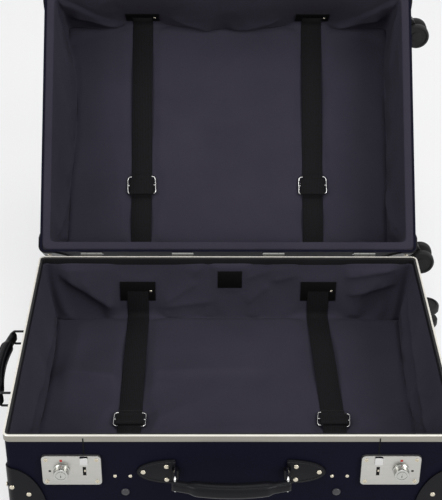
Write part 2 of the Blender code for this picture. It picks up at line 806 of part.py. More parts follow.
def trolley_z():
    """Height of the trolley rods, under the floor of the lining."""
    return BASE.z(TROLLEY_RISE)


def trolley_wall_x():
    """Outer face of the end wall that the trolley runs out of."""
    return -(CASE_LENGTH / 2 - BASE.wall_inset)


def trolley_guide():
    """Two guide tubes behind one face plate on the end wall."""
    outer = ROD_RADIUS + GUIDE_CLEARANCE + GUIDE_SHEET
    wall = trolley_wall_x() - GAP
    z = trolley_z()
    outline = rounded_outline(FACE_PLATE_LENGTH, FACE_PLATE_HEIGHT, FACE_PLATE_HEIGHT / 3)
    made = loft([
        [Vector((x, point.x, z + point.y)) for point in outline] for x in (wall - FACE_PLATE_SHEET, wall)
    ])
    for side in (-1, 1):
        y = side * TROLLEY_SPACING / 2
        made = fuse(made, rod((wall - FACE_PLATE_SHEET / 2, y, z), (GUIDE_END_X, y, z), outer))
    for side in (-1, 1):
        y = side * TROLLEY_SPACING / 2
        start = (wall - 2 * FACE_PLATE_SHEET, y, z)
        end = (GUIDE_END_X + FACE_PLATE_SHEET, y, z)
        made = cut(made, rod(start, end, ROD_RADIUS + GUIDE_CLEARANCE))
    return made


def trolley_handle():
    """The pull-out handle: a rounded grip on two rods that run in the guides."""
    z = trolley_z()
    near = trolley_wall_x() - GAP - FACE_PLATE_SHEET - TROLLEY_FINGER_GAP
    half_span = TROLLEY_GRIP_LENGTH / 2
    end = TROLLEY_GRIP_HEIGHT * 0.4
    stations = [
        (-half_span, 0.55), (-half_span + end * 0.3, 0.8), (-half_span + end, 1.0), (0.0, 1.0),
        (half_span - end, 1.0), (half_span - end * 0.3, 0.8), (half_span, 0.55),
    ]
    loops = []
    for y, size in stations:
        deep = TROLLEY_GRIP_DEPTH * size
        tall = TROLLEY_GRIP_HEIGHT * size
        outline = rounded_outline(deep, tall, min(deep, tall) * 0.45, steps=4)
        loops.append([Vector((near - TROLLEY_GRIP_DEPTH / 2 + point.x, y, z + point.y)) for point in outline])
    made = loft(loops)
    for side in (-1, 1):
        y = side * TROLLEY_SPACING / 2
        start = near - TROLLEY_GRIP_DEPTH / 2
        made = fuse(made, rod((start, y, z), (ROD_END_X, y, z), ROD_RADIUS))
    return made


def base_shell_with_holes():
    """The base's shell with the two holes that the trolley guides pass through."""
    made = shell(BASE, BASE_DEPTH - RIM_SHEET - GAP)
    radius = ROD_RADIUS + GUIDE_CLEARANCE + GUIDE_SHEET + GAP
    z = trolley_z()
    for side in (-1, 1):
        y = side * TROLLEY_SPACING / 2
        start = trolley_wall_x() - SHELL_WALL
        made = cut(made, rod((start, y, z), (start + 3 * SHELL_WALL, y, z), radius))
    return made


def base_rim():
    """The metal channel that caps the base's edge."""
    top = BASE.depth
    inner = RIM_WIDTH
    return swept_ring(BASE, [
        (0.0, top - RIM_BAND), (0.0, top), (inner, top), (inner, top - RIM_INNER),
        (inner - RIM_SHEET, top - RIM_INNER), (inner - RIM_SHEET, top - RIM_SHEET),
        (RIM_SHEET, top - RIM_SHEET), (RIM_SHEET, top - RIM_BAND),
    ])


def lid_batten():
    """The batten that stiffens the lid's edge, inside its wall and under its lining."""
    start = SHELL_WALL + GAP
    end = start + BATTEN_WIDTH
    top = LID.depth - 2 * GAP - LINING_SHEET
    bottom = top - BATTEN_DEPTH
    return swept_ring(LID, [(start, bottom), (start, top), (end, top), (end, bottom)])


def caster_matrix(half, side_y, trail):
    """Places a caster drawn with its swivel axis along z, its trail along x and the wall at z 0."""
    outward = Vector((1.0, 0.0, 0.0))
    across = outward.cross(trail)
    turn = Matrix((trail, across, outward)).transposed().to_4x4()
    return Matrix.Translation(caster_centre(half, side_y)) @ turn


def wheel_lift():
    """How far a caster's axle stands off the wall."""
    return WHEEL_WALL_CLEARANCE + WHEEL_RADIUS


def caster_mount():
    """The round plate of a caster, riveted to the end wall, with a raised seat for the swivel."""
    edge = CASTER_MOUNT_SHEET / 3
    top = GAP + CASTER_MOUNT_SHEET
    radius = CASTER_MOUNT_RADIUS
    return turned([
        (0.0, GAP), (radius, GAP), (radius, top - edge), (radius - edge, top), (0.0, top),
    ])


def caster_fork():
    """The swivelling body between the two wheels: a disc on the mount and an arm to the axle."""
    start = CASTER_MOUNT_SHEET + 2 * GAP
    disc_top = start + FORK_DISC_SHEET
    made = turned([(0.0, start), (FORK_DISC_RADIUS, start), (FORK_DISC_RADIUS, disc_top), (0.0, disc_top)])
    half_width = WHEEL_SPLIT / 2 - FORK_SIDE_CLEARANCE
    axle = Vector((CASTER_TRAIL, wheel_lift()))
    shoulder = FORK_DISC_RADIUS * 0.86
    arm = [Vector((shoulder, start + GAP)), ]
    for step in range(ROUND_STEPS // 2 + 1):
        angle = math.radians(-50 + 180 * step / (ROUND_STEPS // 2))
        arm.append(axle + FORK_EYE * Vector((math.cos(angle), math.sin(angle))))
    arm.append(Vector((-shoulder * 0.55, wheel_lift() * 0.72)))
    arm.append(Vector((-shoulder, disc_top + FORK_DISC_SHEET)))
    arm.append(Vector((-shoulder, start + GAP)))
    sides = (-half_width, half_width)
    made = fuse(made, loft([[Vector((point.x, y, point.y)) for point in arm] for y in sides]))
    hole = rod(
        (CASTER_TRAIL, -WHEEL_SPLIT, wheel_lift()), (CASTER_TRAIL, WHEEL_SPLIT, wheel_lift()),
        AXLE_RADIUS + AXLE_CLEARANCE,
    )
    return cut(made, hole)


def caster_wheels():
    """Twin wheels on their axle, turned as one piece about the axle."""
    inner = WHEEL_SPLIT / 2
    outer = inner + WHEEL_WIDTH
    shoulder = WHEEL_WIDTH * 0.24
    wheel = [
        (WHEEL_RADIUS - shoulder, outer), (WHEEL_RADIUS, outer - shoulder), (WHEEL_RADIUS, inner + shoulder),
        (WHEEL_RADIUS - shoulder, inner), (AXLE_RADIUS, inner),
    ]
    mirrored = [(radius, -z) for radius, z in reversed(wheel)]
    made = turned([(0.0, outer)] + wheel + mirrored + [(0.0, -outer)])
    place = Matrix.Translation((CASTER_TRAIL, 0.0, wheel_lift())) @ Matrix.Rotation(math.radians(90), 4, "X")
    made.transform(place)
    return made


def build():
    """Builds the case, piece by piece."""
    clear_scene()
    fibre = principled("navy_fibreboard", (0.018, 0.020, 0.034), 0.42)
    cloth = principled("charcoal_lining", (0.032, 0.030, 0.042), 0.85)
    leather = principled("black_leather", (0.012, 0.012, 0.013), 0.5)
    webbing = principled("black_webbing", (0.010, 0.010, 0.011), 0.8)
    rim_metal = principled("satin_aluminium", (0.52, 0.51, 0.47), 0.3, 1.0)
    chrome = principled("polished_steel", (0.70, 0.70, 0.70), 0.15, 1.0)
    wood = principled("batten_wood", (0.42, 0.30, 0.18), 0.7)
    rubber = principled("wheel_black", (0.014, 0.014, 0.015), 0.55)
    plastic = principled("moulded_black", (0.016, 0.016, 0.017), 0.45)

    base = (empty("base_root"), Vector((0.0, 0.0, 0.0)))
    lid = (empty("lid_root", HINGE_LINE, -math.radians(LID_OPEN_DEG)), HINGE_LINE)
    carriers = {"base": base, "lid": lid}

    add("base_shell", base_shell_with_holes(), fibre, base)
    add("base_rim", base_rim(), rim_metal, base)
    add("base_lining", lining(BASE), cloth, base)
    add("lid_shell", shell(LID, LID_DEPTH), fibre, lid)
    add("lid_batten", lid_batten(), wood, lid)
    add("lid_lining", lining(LID), cloth, lid)

    sides_x = {"left": -1, "right": 1}
    sides_y = {"front": -1, "back": 1}
    down_when_open = Matrix.Rotation(math.radians(LID_OPEN_DEG), 3, "X") @ Vector((0.0, 0.0, -1.0))
    trails = {"base": Vector((0.0, 1.0, 0.0)), "lid": down_when_open}
    for half in (BASE, LID):
        for front_back, side_y in sides_y.items():
            for left_right, side_x in sides_x.items():
                name = f"{half.name}_corner_{front_back}_{left_right}"
                add(name, leather_corner(half, side_x, side_y), leather, carriers[half.name])
            place = caster_matrix(half, side_y, trails[half.name])
            stem = f"{half.name}_caster_{front_back}"
            pieces = (
                ("mount", caster_mount(), chrome, Vector((0.0, 0.0, 0.0))),
                ("fork", caster_fork(), plastic, Vector((0.0, 0.0, 0.0))),
                ("wheels", caster_wheels(), rubber, Vector((CASTER_TRAIL, 0.0, wheel_lift()))),
            )
            for piece, drawn, finish, pivot in pieces:
                drawn.transform(place)
                add(f"{stem}_{piece}", drawn, finish, carriers[half.name], place @ pivot)

    for number, x in enumerate(HINGE_PLACES, start=1):
        add(f"hinge_{number}_base_leaf", hinge_leaf(x, False), chrome, base, (x, KNUCKLE_Y, HINGE_LINE.z))
        add(f"hinge_{number}_lid_leaf", hinge_leaf(x, True), chrome, lid, (x, KNUCKLE_Y, HINGE_LINE.z))

    for left_right, side in sides_x.items():
        add(f"lock_plate_{left_right}", lock_plate(side), chrome, base)
        add(f"lock_knob_{left_right}", lock_knob(side), chrome, base, knob_axis(side))
        add(f"lid_hasp_{left_right}", hasp(side), chrome, lid)
        x = side * STRAP_PLACE
        add(f"base_strap_{left_right}", strap(BASE, x, BASE_BUCKLE_Y, BASE_PATCH_DROP), webbing, base)
        add(f"base_buckle_{left_right}", buckle(BASE, x, BASE_BUCKLE_Y), chrome, base)
        add(f"lid_strap_{left_right}", strap(LID, x, LID_BUCKLE_Y, LID_PATCH_DROP), webbing, lid)
        add(f"lid_buckle_{left_right}", buckle(LID, x, LID_BUCKLE_Y), chrome, lid)

    end_names = {"left": "back", "right": "front"}
    for stem, frame in (("front_handle", front_handle_frame()), ("end_handle", end_handle_frame())):
        for left_right, side in sides_x.items():
            where = left_right if stem == "front_handle" else end_names[left_right]
            wire = Vector((side * RING_SPACING / 2, -ring_inner(), 0.0))
            tab = handle_tab(side)
            tab.transform(frame)
            add(f"{stem}_tab_{where}", tab, leather, base)
            ring = handle_ring(side)
            ring.transform(frame)
            add(f"{stem}_ring_{where}", ring, chrome, base, frame @ wire)
        grip = handle_grip()
        grip.transform(frame)
        outer_wire = Vector((-RING_SPACING / 2, -(ring_inner() + RING_REACH), 0.0))
        add(f"{stem}_grip", grip, leather, base, frame @ outer_wire)

    add("trolley_guide", trolley_guide(), plastic, base)
    add("trolley_handle", trolley_handle(), plastic, base, (trolley_wall_x(), 0.0, trolley_z()))


build()
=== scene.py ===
"""The open trolley case, dressed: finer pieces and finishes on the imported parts, in a plain studio.

Everything is drawn with the case shut, in metres with +Z up, and the lid's pieces are then turned
back about the hinge line. Inside a half, a height is measured from the flat outer face of its shell
towards the rim, and an inset is measured inwards from the outline of the metal rim.
"""

import json
import logging
import math
from dataclasses import dataclass, field
from enum import Enum
from typing import Any, Iterable, Iterator, Sequence

import bmesh
import bpy
import numpy as np
from mathutils import Matrix, Vector

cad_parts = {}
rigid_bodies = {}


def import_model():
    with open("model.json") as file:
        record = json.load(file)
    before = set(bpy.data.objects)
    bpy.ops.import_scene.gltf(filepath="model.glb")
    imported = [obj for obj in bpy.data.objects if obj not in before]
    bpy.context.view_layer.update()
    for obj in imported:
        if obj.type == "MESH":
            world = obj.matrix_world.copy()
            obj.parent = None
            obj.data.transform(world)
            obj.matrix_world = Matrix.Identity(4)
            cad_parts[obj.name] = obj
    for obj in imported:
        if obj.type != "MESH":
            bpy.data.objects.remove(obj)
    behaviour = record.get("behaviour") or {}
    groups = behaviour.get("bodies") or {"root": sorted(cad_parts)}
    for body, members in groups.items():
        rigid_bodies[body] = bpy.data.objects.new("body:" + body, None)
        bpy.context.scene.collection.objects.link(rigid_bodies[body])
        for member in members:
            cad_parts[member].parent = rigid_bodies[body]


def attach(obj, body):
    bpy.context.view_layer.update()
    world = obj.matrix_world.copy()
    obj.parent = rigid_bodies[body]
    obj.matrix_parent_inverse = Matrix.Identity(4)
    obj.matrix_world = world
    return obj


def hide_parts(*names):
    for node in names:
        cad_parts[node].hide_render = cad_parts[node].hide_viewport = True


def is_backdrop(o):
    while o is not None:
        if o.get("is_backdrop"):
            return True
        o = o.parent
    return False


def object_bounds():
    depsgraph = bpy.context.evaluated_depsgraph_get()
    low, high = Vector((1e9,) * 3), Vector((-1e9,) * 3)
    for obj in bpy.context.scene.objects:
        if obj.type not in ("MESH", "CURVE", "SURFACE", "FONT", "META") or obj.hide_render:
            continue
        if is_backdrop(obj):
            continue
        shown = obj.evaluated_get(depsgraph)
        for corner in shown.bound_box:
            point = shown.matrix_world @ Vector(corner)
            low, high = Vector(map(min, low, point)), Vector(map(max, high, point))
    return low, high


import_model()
CAD_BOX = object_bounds()

LOG = logging.getLogger("scene")
Shape = bmesh.types.BMesh
Loop = list[Vector]
Array = np.ndarray
Pair = tuple[float, float]
Triple = tuple[float, float, float]
Mesh = bpy.types.Mesh
Object = bpy.types.Object
Tree = bpy.types.NodeTree
Socket = bpy.types.NodeSocket
UNMOVED = Matrix.Identity(4)


@dataclass(frozen=True)
class CaseSizes:
    """Sizes that both halves of the case share."""

    length: float = 0.530
    width: float = 0.385
    shell_wall: float = 0.003
    corner_radius: float = 0.008
    edge_radius: float = 0.005
    seam: float = 0.0006
    gap: float = 0.0003
    leather: float = 0.0018
    lining: float = 0.001
    open_deg: float = 130.0
    rim_z: float = 0.1221
    knuckle_radius: float = 0.0036
    strap_place: float = 0.128
    strap_slip: float = 0.009
    caster_inset: Pair = (0.020, 0.023)
    caster_mount: float = 0.014

    @property
    def hinge_line(self) -> Vector:
        """A point on the axis that the lid turns about."""
        return Vector((0.0, self.width / 2 + self.gap + self.knuckle_radius, self.rim_z + self.seam / 2))


CASE = CaseSizes()
GAP = CASE.gap


@dataclass(frozen=True)
class Half:
    """One half of the case, with the way its heights and insets run."""

    name: str
    depth: float
    face_z: float
    upward: int
    wall_inset: float
    floor_rise: float
    corner_rise: float
    lining_inset: float
    patch_drop: float
    buckle_y: float

    def z(self, height: float) -> float:
        """World height of a point at this height above the half's outer face, with the case shut."""
        return self.face_z + self.upward * height

    def to_rest(self) -> Matrix:
        """What takes a point of the shut case to its place in the open one.

        Returns:
            The matrix, which leaves the base as it is.
        """
        if self.upward > 0:
            return UNMOVED
        about = Matrix.Translation(CASE.hinge_line)
        return about @ Matrix.Rotation(-math.radians(CASE.open_deg), 4, "X") @ about.inverted()


BASE = Half("base", 0.120, 0.0021, 1, 0.0015, 0.0235, 0.071, 0.0058, 0.053, -0.051)
LID = Half("lid", 0.112, 0.2347, -1, 0.0, 0.0065, 0.124, 0.0141, 0.080, 0.0785)
FRONT_Y = BASE.wall_inset - CASE.width / 2
END_X = BASE.wall_inset - CASE.length / 2


def caster_centre(half: Half, side_y: int) -> Vector:
    """Where a caster sits on the end wall, with the case shut."""
    inset, height = CASE.caster_inset
    return Vector((CASE.length / 2 - half.wall_inset, side_y * (CASE.width / 2 - inset), half.z(height)))


def set_inputs(tree: Tree, node: bpy.types.Node, inputs: dict[str | int, Any]) -> None:
    """Sets inputs of a node.

    Args:
        tree: The tree that holds it.
        node: The node.
        inputs: A value for each input, or a socket that is linked to it.
    """
    for key, value in inputs.items():
        if isinstance(value, Socket):
            tree.links.new(value, node.inputs[key])
        else:
            node.inputs[key].default_value = value


def add_node(
    tree: Tree, kind: str, inputs: dict[str | int, Any] | None = None, **settings: str
) -> bpy.types.Node:
    """Adds a node to a tree.

    Args:
        tree: The tree.
        kind: The node's type.
        inputs: A value for each input that is set, or a socket that is linked to it.
        settings: What the node's own settings are.

    Returns:
        The node.
    """
    made = tree.nodes.new(kind)
    for name, value in settings.items():
        setattr(made, name, value)
    set_inputs(tree, made, inputs or {})
    return made


def math_node(tree: Tree, operation: str, first: Socket, second: Any) -> Socket:
    """What an arithmetic node makes of two values."""
    return add_node(tree, "ShaderNodeMath", {0: first, 1: second}, operation=operation).outputs["Value"]


def in_scene(name: str, data: bpy.types.ID) -> Object:
    """A new object of the scene.

    Args:
        name: Its name.
        data: Its mesh, lamp or camera.

    Returns:
        The object.
    """
    made = bpy.data.objects.new(name, data)
    bpy.context.scene.collection.objects.link(made)
    return made


def evaluated(made: Object) -> Mesh:
    """The mesh of an object after its modifiers."""
    graph = bpy.context.evaluated_depsgraph_get()
    return bpy.data.meshes.new_from_object(made.evaluated_get(graph), depsgraph=graph)


class Pattern(Enum):
    """How a finish varies over its surface."""

    GRAIN = "grain"
    PEBBLE = "pebble"
    CLOTH = "cloth"
    RIBS = "ribs"
    BRUSHED = "brushed"


@dataclass(frozen=True)
class Finish:
    """A surface finish that varies finely over object coordinates."""

    name: str
    slot: str
    colour: Triple
    roughness: float
    metallic: float = 0.0
    pattern: Pattern = Pattern.GRAIN
    scale: float = 350.0
    contrast: float = 0.2
    bump: float = 0.15
    sheen: float = 0.0
    specular: float = 0.5

    def material(self) -> bpy.types.Material:
        """The finish's material, made on first use.

        Returns:
            The material.
        """
        made = bpy.data.materials.get(self.name)
        if made:
            return made
        made = bpy.data.materials.new(self.name)
        made.use_nodes = True
        tree = made.node_tree
        place = add_node(tree, "ShaderNodeTexCoord").outputs["Object"]
        fine = self._texture(tree, place)
        broad = add_node(tree, "ShaderNodeTexNoise", {"Vector": place, "Scale": 14.0, "Detail": 4.0})
        patchy = broad.outputs["Fac"]
        mean = math_node(tree, "MULTIPLY", math_node(tree, "ADD", fine, patchy), 0.5)
        tone = add_node(tree, "ShaderNodeValToRGB", {"Fac": mean})
        ends = tone.color_ramp.elements
        for element, at, share in zip(ends, (0.25, 0.75), (1 - self.contrast, 1 + self.contrast)):
            element.position = at
            element.color = (*(min(c * share, 1.0) for c in self.colour), 1.0)
        low, high = max(self.roughness - 0.06, 0.02), min(self.roughness + 0.06, 1.0)
        gloss = add_node(tree, "ShaderNodeMapRange", {"Value": patchy, "To Min": low, "To Max": high})
        relief = add_node(tree, "ShaderNodeBump", {"Strength": self.bump, "Distance": 0.0004, "Height": fine})
        set_inputs(tree, tree.nodes["Principled BSDF"], {
            "Base Color": tone.outputs["Color"],
            "Roughness": gloss.outputs["Result"],
            "Normal": relief.outputs["Normal"],
            "Metallic": self.metallic,
            "Sheen Weight": self.sheen,
            "Sheen Roughness": 0.4,
            "Specular IOR Level": self.specular,
        })
        return made

    def _texture(self, tree: Tree, place: Socket) -> Socket:
        """Adds the fine texture of this finish.

        Args:
            tree: The material's node tree.
            place: The coordinates that the texture lies on.

        Returns:
            The texture's grey value.
        """
        inputs = {"Vector": place, "Scale": self.scale}
        if self.pattern is Pattern.RIBS:
            inputs |= {"Distortion": 0.6, "Detail Scale": 4.0}
            return add_node(tree, "ShaderNodeTexWave", inputs, bands_direction="X").outputs["Fac"]
        if self.pattern is Pattern.PEBBLE:
            return add_node(tree, "ShaderNodeTexVoronoi", inputs, feature="SMOOTH_F1").outputs["Distance"]
        if self.pattern is not Pattern.GRAIN:
            stretch = (0.12, 1.0, 1.0) if self.pattern is Pattern.BRUSHED else (1.0, 1.0, 0.6)
            mapped = add_node(tree, "ShaderNodeMapping", {"Vector": place, "Scale": stretch})
            inputs["Vector"] = mapped.outputs["Vector"]
        inputs["Detail"] = 6.0 if self.pattern is Pattern.CLOTH else 3.0
        return add_node(tree, "ShaderNodeTexNoise", inputs).outputs["Fac"]


FIBREBOARD = Finish(
    "navy_fibreboard", "fibreboard", (0.0050, 0.0053, 0.0135), 0.62, scale=500, bump=0.10, specular=0.05,
)
RIM_METAL = Finish(
    "satin_rim", "rim_metal", (0.285, 0.274, 0.24), 0.30, 1.0, Pattern.BRUSHED, 300, 0.08, 0.03,
)
# The bead's finish is the rim metal painted far lighter: a painted highlight along the rim's rounded top.
RIM_BEAD_HIGHLIGHT = Finish("rim_bead", "rim_metal", (0.90, 0.87, 0.79), 0.34, 0.45, Pattern.BRUSHED, 300, 0.06, 0.02)
STRIP = Finish("rim_strip", "moulding", (0.008, 0.008, 0.009), 0.4, scale=400, bump=0.05, specular=0.3)
CLOTH = Finish(
    "charcoal_lining", "lining", (0.038, 0.035, 0.050), 0.85, 0.0, Pattern.CLOTH, 900, 0.2, 0.25, 0.02,
    specular=0.04,
)
WEBBING = Finish(
    "black_webbing", "webbing", (0.0066, 0.0060, 0.0070), 0.8, 0.0, Pattern.RIBS, 130, 0.3, 0.5, 0.03,
    specular=0.12,
)
PATCH = Finish(
    "patch_leather", "webbing", (0.003, 0.003, 0.0033), 0.6, 0.0, Pattern.PEBBLE, 900, 0.2, 0.2,
    specular=0.1,
)
LEATHER = Finish(
    "black_leather", "leather", (0.0055, 0.0057, 0.0075), 0.36, 0.0, Pattern.PEBBLE, 1100, 0.25, 0.3,
    specular=0.14,
)
THREAD = Finish("dark_thread", "leather", (0.022, 0.022, 0.024), 0.7, scale=900, specular=0.2)
CHROME = Finish(
    "polished_steel", "bright_metal", (0.62, 0.62, 0.61), 0.16, 1.0, Pattern.BRUSHED, 400, 0.06, 0.02,
)
SATIN = Finish(
    "satin_steel", "bright_metal", (0.49, 0.485, 0.455), 0.34, 1.0, Pattern.BRUSHED, 500, 0.06, 0.04,
)
NICKEL_BRIGHT = Finish(
    "bright_nickel", "bright_metal", (0.48, 0.48, 0.46), 0.2, 1.0, Pattern.BRUSHED, 400, 0.06, 0.02,
)
# The hinges' nickel: the bright nickel of the knobs painted much darker, as painted shade that keeps their
# reflections dim.
NICKEL = Finish(
    "dull_nickel", "bright_metal", (0.15, 0.15, 0.142), 0.2, 1.0, Pattern.BRUSHED, 400, 0.08, 0.02,
)
# The end rings' wire: the bright wire of the front rings painted dark, standing in for the dark reflections
# it shows.
DARKENED_WIRE = Finish(
    "black_wire", "bright_metal", (0.035, 0.035, 0.037), 0.25, 1.0, scale=300, contrast=0.1, bump=0.02,
)
RIVET = Finish(
    "pale_rivet", "bright_metal", (0.62, 0.57, 0.46), 0.26, 1.0, scale=300, contrast=0.06, bump=0.02,
)
DOME = Finish("grey_dome", "moulding", (0.030, 0.030, 0.036), 0.34, scale=500, bump=0.05)
MOULDING = Finish(
    "moulded_black", "moulding", (0.010, 0.010, 0.011), 0.42, scale=600, bump=0.08, specular=0.3,
)
TYRE = Finish("wheel_black", "wheel", (0.012, 0.012, 0.013), 0.6, scale=500, bump=0.15, specular=0.3)
ROD_METAL = Finish(
    "rod_metal", "trolley_metal", (0.34, 0.34, 0.36), 0.3, 1.0, Pattern.BRUSHED, 400, 0.08, 0.03,
)
WOOD = Finish(
    "stained_batten", "batten_wood", (0.045, 0.036, 0.034), 0.7, 0.0, Pattern.BRUSHED, 200, 0.25, 0.1,
)
RED = Finish("red_paint", "moulding", (0.45, 0.03, 0.02), 0.5, scale=500, contrast=0.1)
# Flat black that paints shade into each lock's window and into the line above each catch, and also prints the
# lock's open mark.
PAINTED_SHADE_AND_PRINT = Finish("dark_slot", "moulding", (0.006, 0.006, 0.006), 0.6, scale=500, specular=0.1)


def rounded_outline(length: float, width: float, radius: float, steps: int = 10) -> Loop:
    """Points of a rectangle with round corners, anticlockwise, centred on the origin.

    Args:
        length: Its size along x.
        width: Its size along y.
        radius: The corners' radius.
        steps: Steps round each corner.

    Returns:
        The points.
    """
    points = []
    for quarter, (side_x, side_y) in enumerate(((1, 1), (-1, 1), (-1, -1), (1, -1))):
        centre = Vector((side_x * (length / 2 - radius), side_y * (width / 2 - radius)))
        for step in range(steps + 1):
            angle = math.radians(90 * (quarter + step / steps))
            points.append(centre + radius * Vector((math.cos(angle), math.sin(angle))))
    return points


def case_outline(inset: float, least: float = CASE.edge_radius / 2) -> Loop:
    """The case's outline from above at an inset, with corners of no less than the least radius."""
    radius = max(CASE.corner_radius - inset, least)
    return rounded_outline(CASE.length - 2 * inset, CASE.width - 2 * inset, radius)


def level(outline: Loop, z: float) -> Loop:
    """A flat outline lifted to a height."""
    return [Vector((point.x, point.y, z)) for point in outline]


def upright(outline: Loop, y: float) -> Loop:
    """A flat outline set upright on a plane of constant Y."""
    return [Vector((point.x, y, point.y)) for point in outline]


def loft(loops: Sequence[Loop], closed: bool = False) -> Shape:
    """A body through loops with equally many points, capped at both ends or closed into a ring.

    Args:
        loops: The loops in order.
        closed: Whether the last joins the first.

    Returns:
        The body.
    """
    made = bmesh.new()
    rows = [[made.verts.new(point) for point in loop] for loop in loops]
    pairs = list(zip(rows, rows[1:]))
    if closed:
        pairs.append((rows[-1], rows[0]))
    else:
        made.faces.new(rows[0])
        made.faces.new(rows[-1])
    for low, high in pairs:
        for index in range(len(low)):
            after = (index + 1) % len(low)
            made.faces.new((low[index], low[after], high[after], high[index]))
    return made


def block(low: Sequence[float], high: Sequence[float], bevel: float = 0.0) -> Shape:
    """A box between two corners, with its edges rounded by the bevel.

    Args:
        low: Its lowest corner.
        high: Its highest corner.
        bevel: How far edges are cut back.

    Returns:
        The box.
    """
    made = bmesh.new()
    size = Vector(high) - Vector(low)
    middle = (Vector(high) + Vector(low)) / 2
    bmesh.ops.create_cube(made, size=1.0, matrix=Matrix.Translation(middle) @ Matrix.Diagonal((*size, 1.0)))
    if bevel:
        bmesh.ops.bevel(made, geom=made.edges[:], offset=bevel, segments=2, affect="EDGES", profile=0.5)
    return made


def rod(start: Sequence[float], end: Sequence[float], radius: float, sides: int = 32) -> Shape:
    """A cylinder from one point to another.

    Args:
        start: The middle of one end.
        end: The middle of the other.
        radius: Its radius.
        sides: How many faces go round it.

    Returns:
        The cylinder.
    """
    start, end = Vector(start), Vector(end)
    along = end - start
    matrix = Matrix.Translation((start + end) / 2) @ along.to_track_quat("Z", "Y").to_matrix().to_4x4()
    made = bmesh.new()
    bmesh.ops.create_cone(
        made, cap_ends=True, segments=sides, radius1=radius, radius2=radius, depth=along.length, matrix=matrix
    )
    return made


def lathe(profile: Sequence[Pair], steps: int = 48) -> Shape:
    """A body of revolution about local Z, from (radius, z) points off the axis."""
    turns = [(math.cos(math.tau * k / steps), math.sin(math.tau * k / steps)) for k in range(steps)]
    return loft([[Vector((radius * c, radius * s, z)) for c, s in turns] for radius, z in profile])


def tube(points: Loop, radius: float, closed: bool = False, sides: int = 14) -> Shape:
    """A round wire along points, with a frame that doesn't twist.

    Args:
        points: The wire's middle line.
        radius: The wire's radius.
        closed: Whether its ends meet.
        sides: How many faces go round it.

    Returns:
        The wire.
    """
    count = len(points)
    side = Vector((0.31, 0.52, 0.79))
    loops = []
    for index, point in enumerate(points):
        before = points[index - 1] if closed or index else point
        after = points[(index + 1) % count] if closed or index < count - 1 else point
        along = (after - before).normalized()
        side = (side - along * side.dot(along)).normalized()
        across = along.cross(side)
        loops.append([
            point + radius * (math.cos(math.tau * k / sides) * side + math.sin(math.tau * k / sides) * across)
            for k in range(sides)
        ])
    return loft(loops, closed)


def wall_plate(size: Pair, radius: float, steps: Sequence[Pair], turn: int = 8) -> Shape:
    """An upright plate whose outline draws in towards its face.

    Args:
        size: Its width and height.
        radius: The corners' radius.
        steps: How far the outline is drawn in at each y, as (inset, y).
        turn: Steps round each corner.

    Returns:
        The plate.
    """
    width, height = size
    return loft([
        upright(rounded_outline(width - 2 * inset, height - 2 * inset, radius - inset, turn), y)
        for inset, y in steps
    ])


def to_mesh(shape: Shape, name: str) -> Mesh:
    """A mesh of a shape, which is used up.

    Args:
        shape: The shape.
        name: The mesh's name.

    Returns:
        The mesh.
    """
    mesh = bpy.data.meshes.new(name)
    shape.to_mesh(mesh)
    shape.free()
    return mesh


def face_outward(shape: Shape) -> None:
    """Turns every face of a closed body outwards.

    Args:
        shape: The body, which is changed.
    """
    bmesh.ops.recalc_face_normals(shape, faces=shape.faces)
    if shape.calc_volume(signed=True) < 0:
        bmesh.ops.reverse_faces(shape, faces=shape.faces)


def merge(*shapes: Shape) -> Shape:
    """Several closed bodies in one shape, each facing out.

    Args:
        shapes: The bodies, which are used up.

    Returns:
        The one shape.
    """
    made = bmesh.new()
    for shape in shapes:
        face_outward(shape)
        mesh = to_mesh(shape, "part")
        made.from_mesh(mesh)
        bpy.data.meshes.remove(mesh)
    return made


class Boolean(Enum):
    """How two bodies are combined."""

    UNION = "UNION"
    DIFFERENCE = "DIFFERENCE"
    INTERSECT = "INTERSECT"


def combine(first: Shape, second: Shape, operation: Boolean) -> Shape:
    """Runs a Boolean between two bodies.

    Args:
        first: The body that is kept, changed.
        second: The tool.
        operation: How they are combined.

    Returns:
        The resulting body.
    """
    helpers = []
    for source in (first, second):
        face_outward(source)
        helpers.append(in_scene("operand", to_mesh(source, "operand")))
    modifier = helpers[0].modifiers.new("combine", "BOOLEAN")
    modifier.operation = operation.value
    modifier.object = helpers[1]
    modifier.solver = "EXACT"
    made = bmesh.new()
    made.from_object(helpers[0], bpy.context.evaluated_depsgraph_get())
    for helper in helpers:
        bpy.data.meshes.remove(helper.data)
    return made


def cut(body: Shape, *tools: Shape) -> Shape:
    """Takes the tools out of the body.

    Args:
        body: The body.
        tools: What is taken out of it.

    Returns:
        What is left.
    """
    for tool in tools:
        body = combine(body, tool, Boolean.DIFFERENCE)
    return body


def hand_over(
    name: str, mesh: Mesh, finish: Finish, body: str, replaces: Iterable[str] = ()
) -> Object:
    """Puts a finished mesh on a body of the frame.

    Args:
        name: The piece's name.
        mesh: Its mesh, in place at rest.
        finish: Its finish.
        body: The body that carries it.
        replaces: The nodes that it stands for.

    Returns:
        The piece.
    """
    mesh.materials.clear()
    mesh.materials.append(finish.material())
    made = in_scene(name, mesh)
    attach(made, body)
    if replaces:
        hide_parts(*replaces)
    LOG.info("%s on %s, %d faces", name, body, len(mesh.polygons))
    return made


def piece(
    name: str,
    shape: Shape,
    finish: Finish,
    body: str,
    replaces: Iterable[str] = (),
    matrix: Matrix = UNMOVED,
    sharp: float = 34.0,
) -> Object:
    """Makes a piece from a closed shape.

    Args:
        name: The piece's name.
        shape: What it is drawn as, which is used up.
        finish: Its finish.
        body: The body that carries it.
        replaces: The nodes that it stands for.
        matrix: What takes the drawing to its place at rest.
        sharp: Edges sharper than this many degrees aren't smoothed.

    Returns:
        The piece.
    """
    shape.transform(matrix)
    bmesh.ops.recalc_face_normals(shape, faces=shape.faces)
    mesh = to_mesh(shape, name)
    mesh.shade_smooth()
    mesh.set_sharp_from_angle(angle=math.radians(sharp))
    return hand_over(name, mesh, finish, body, replaces)


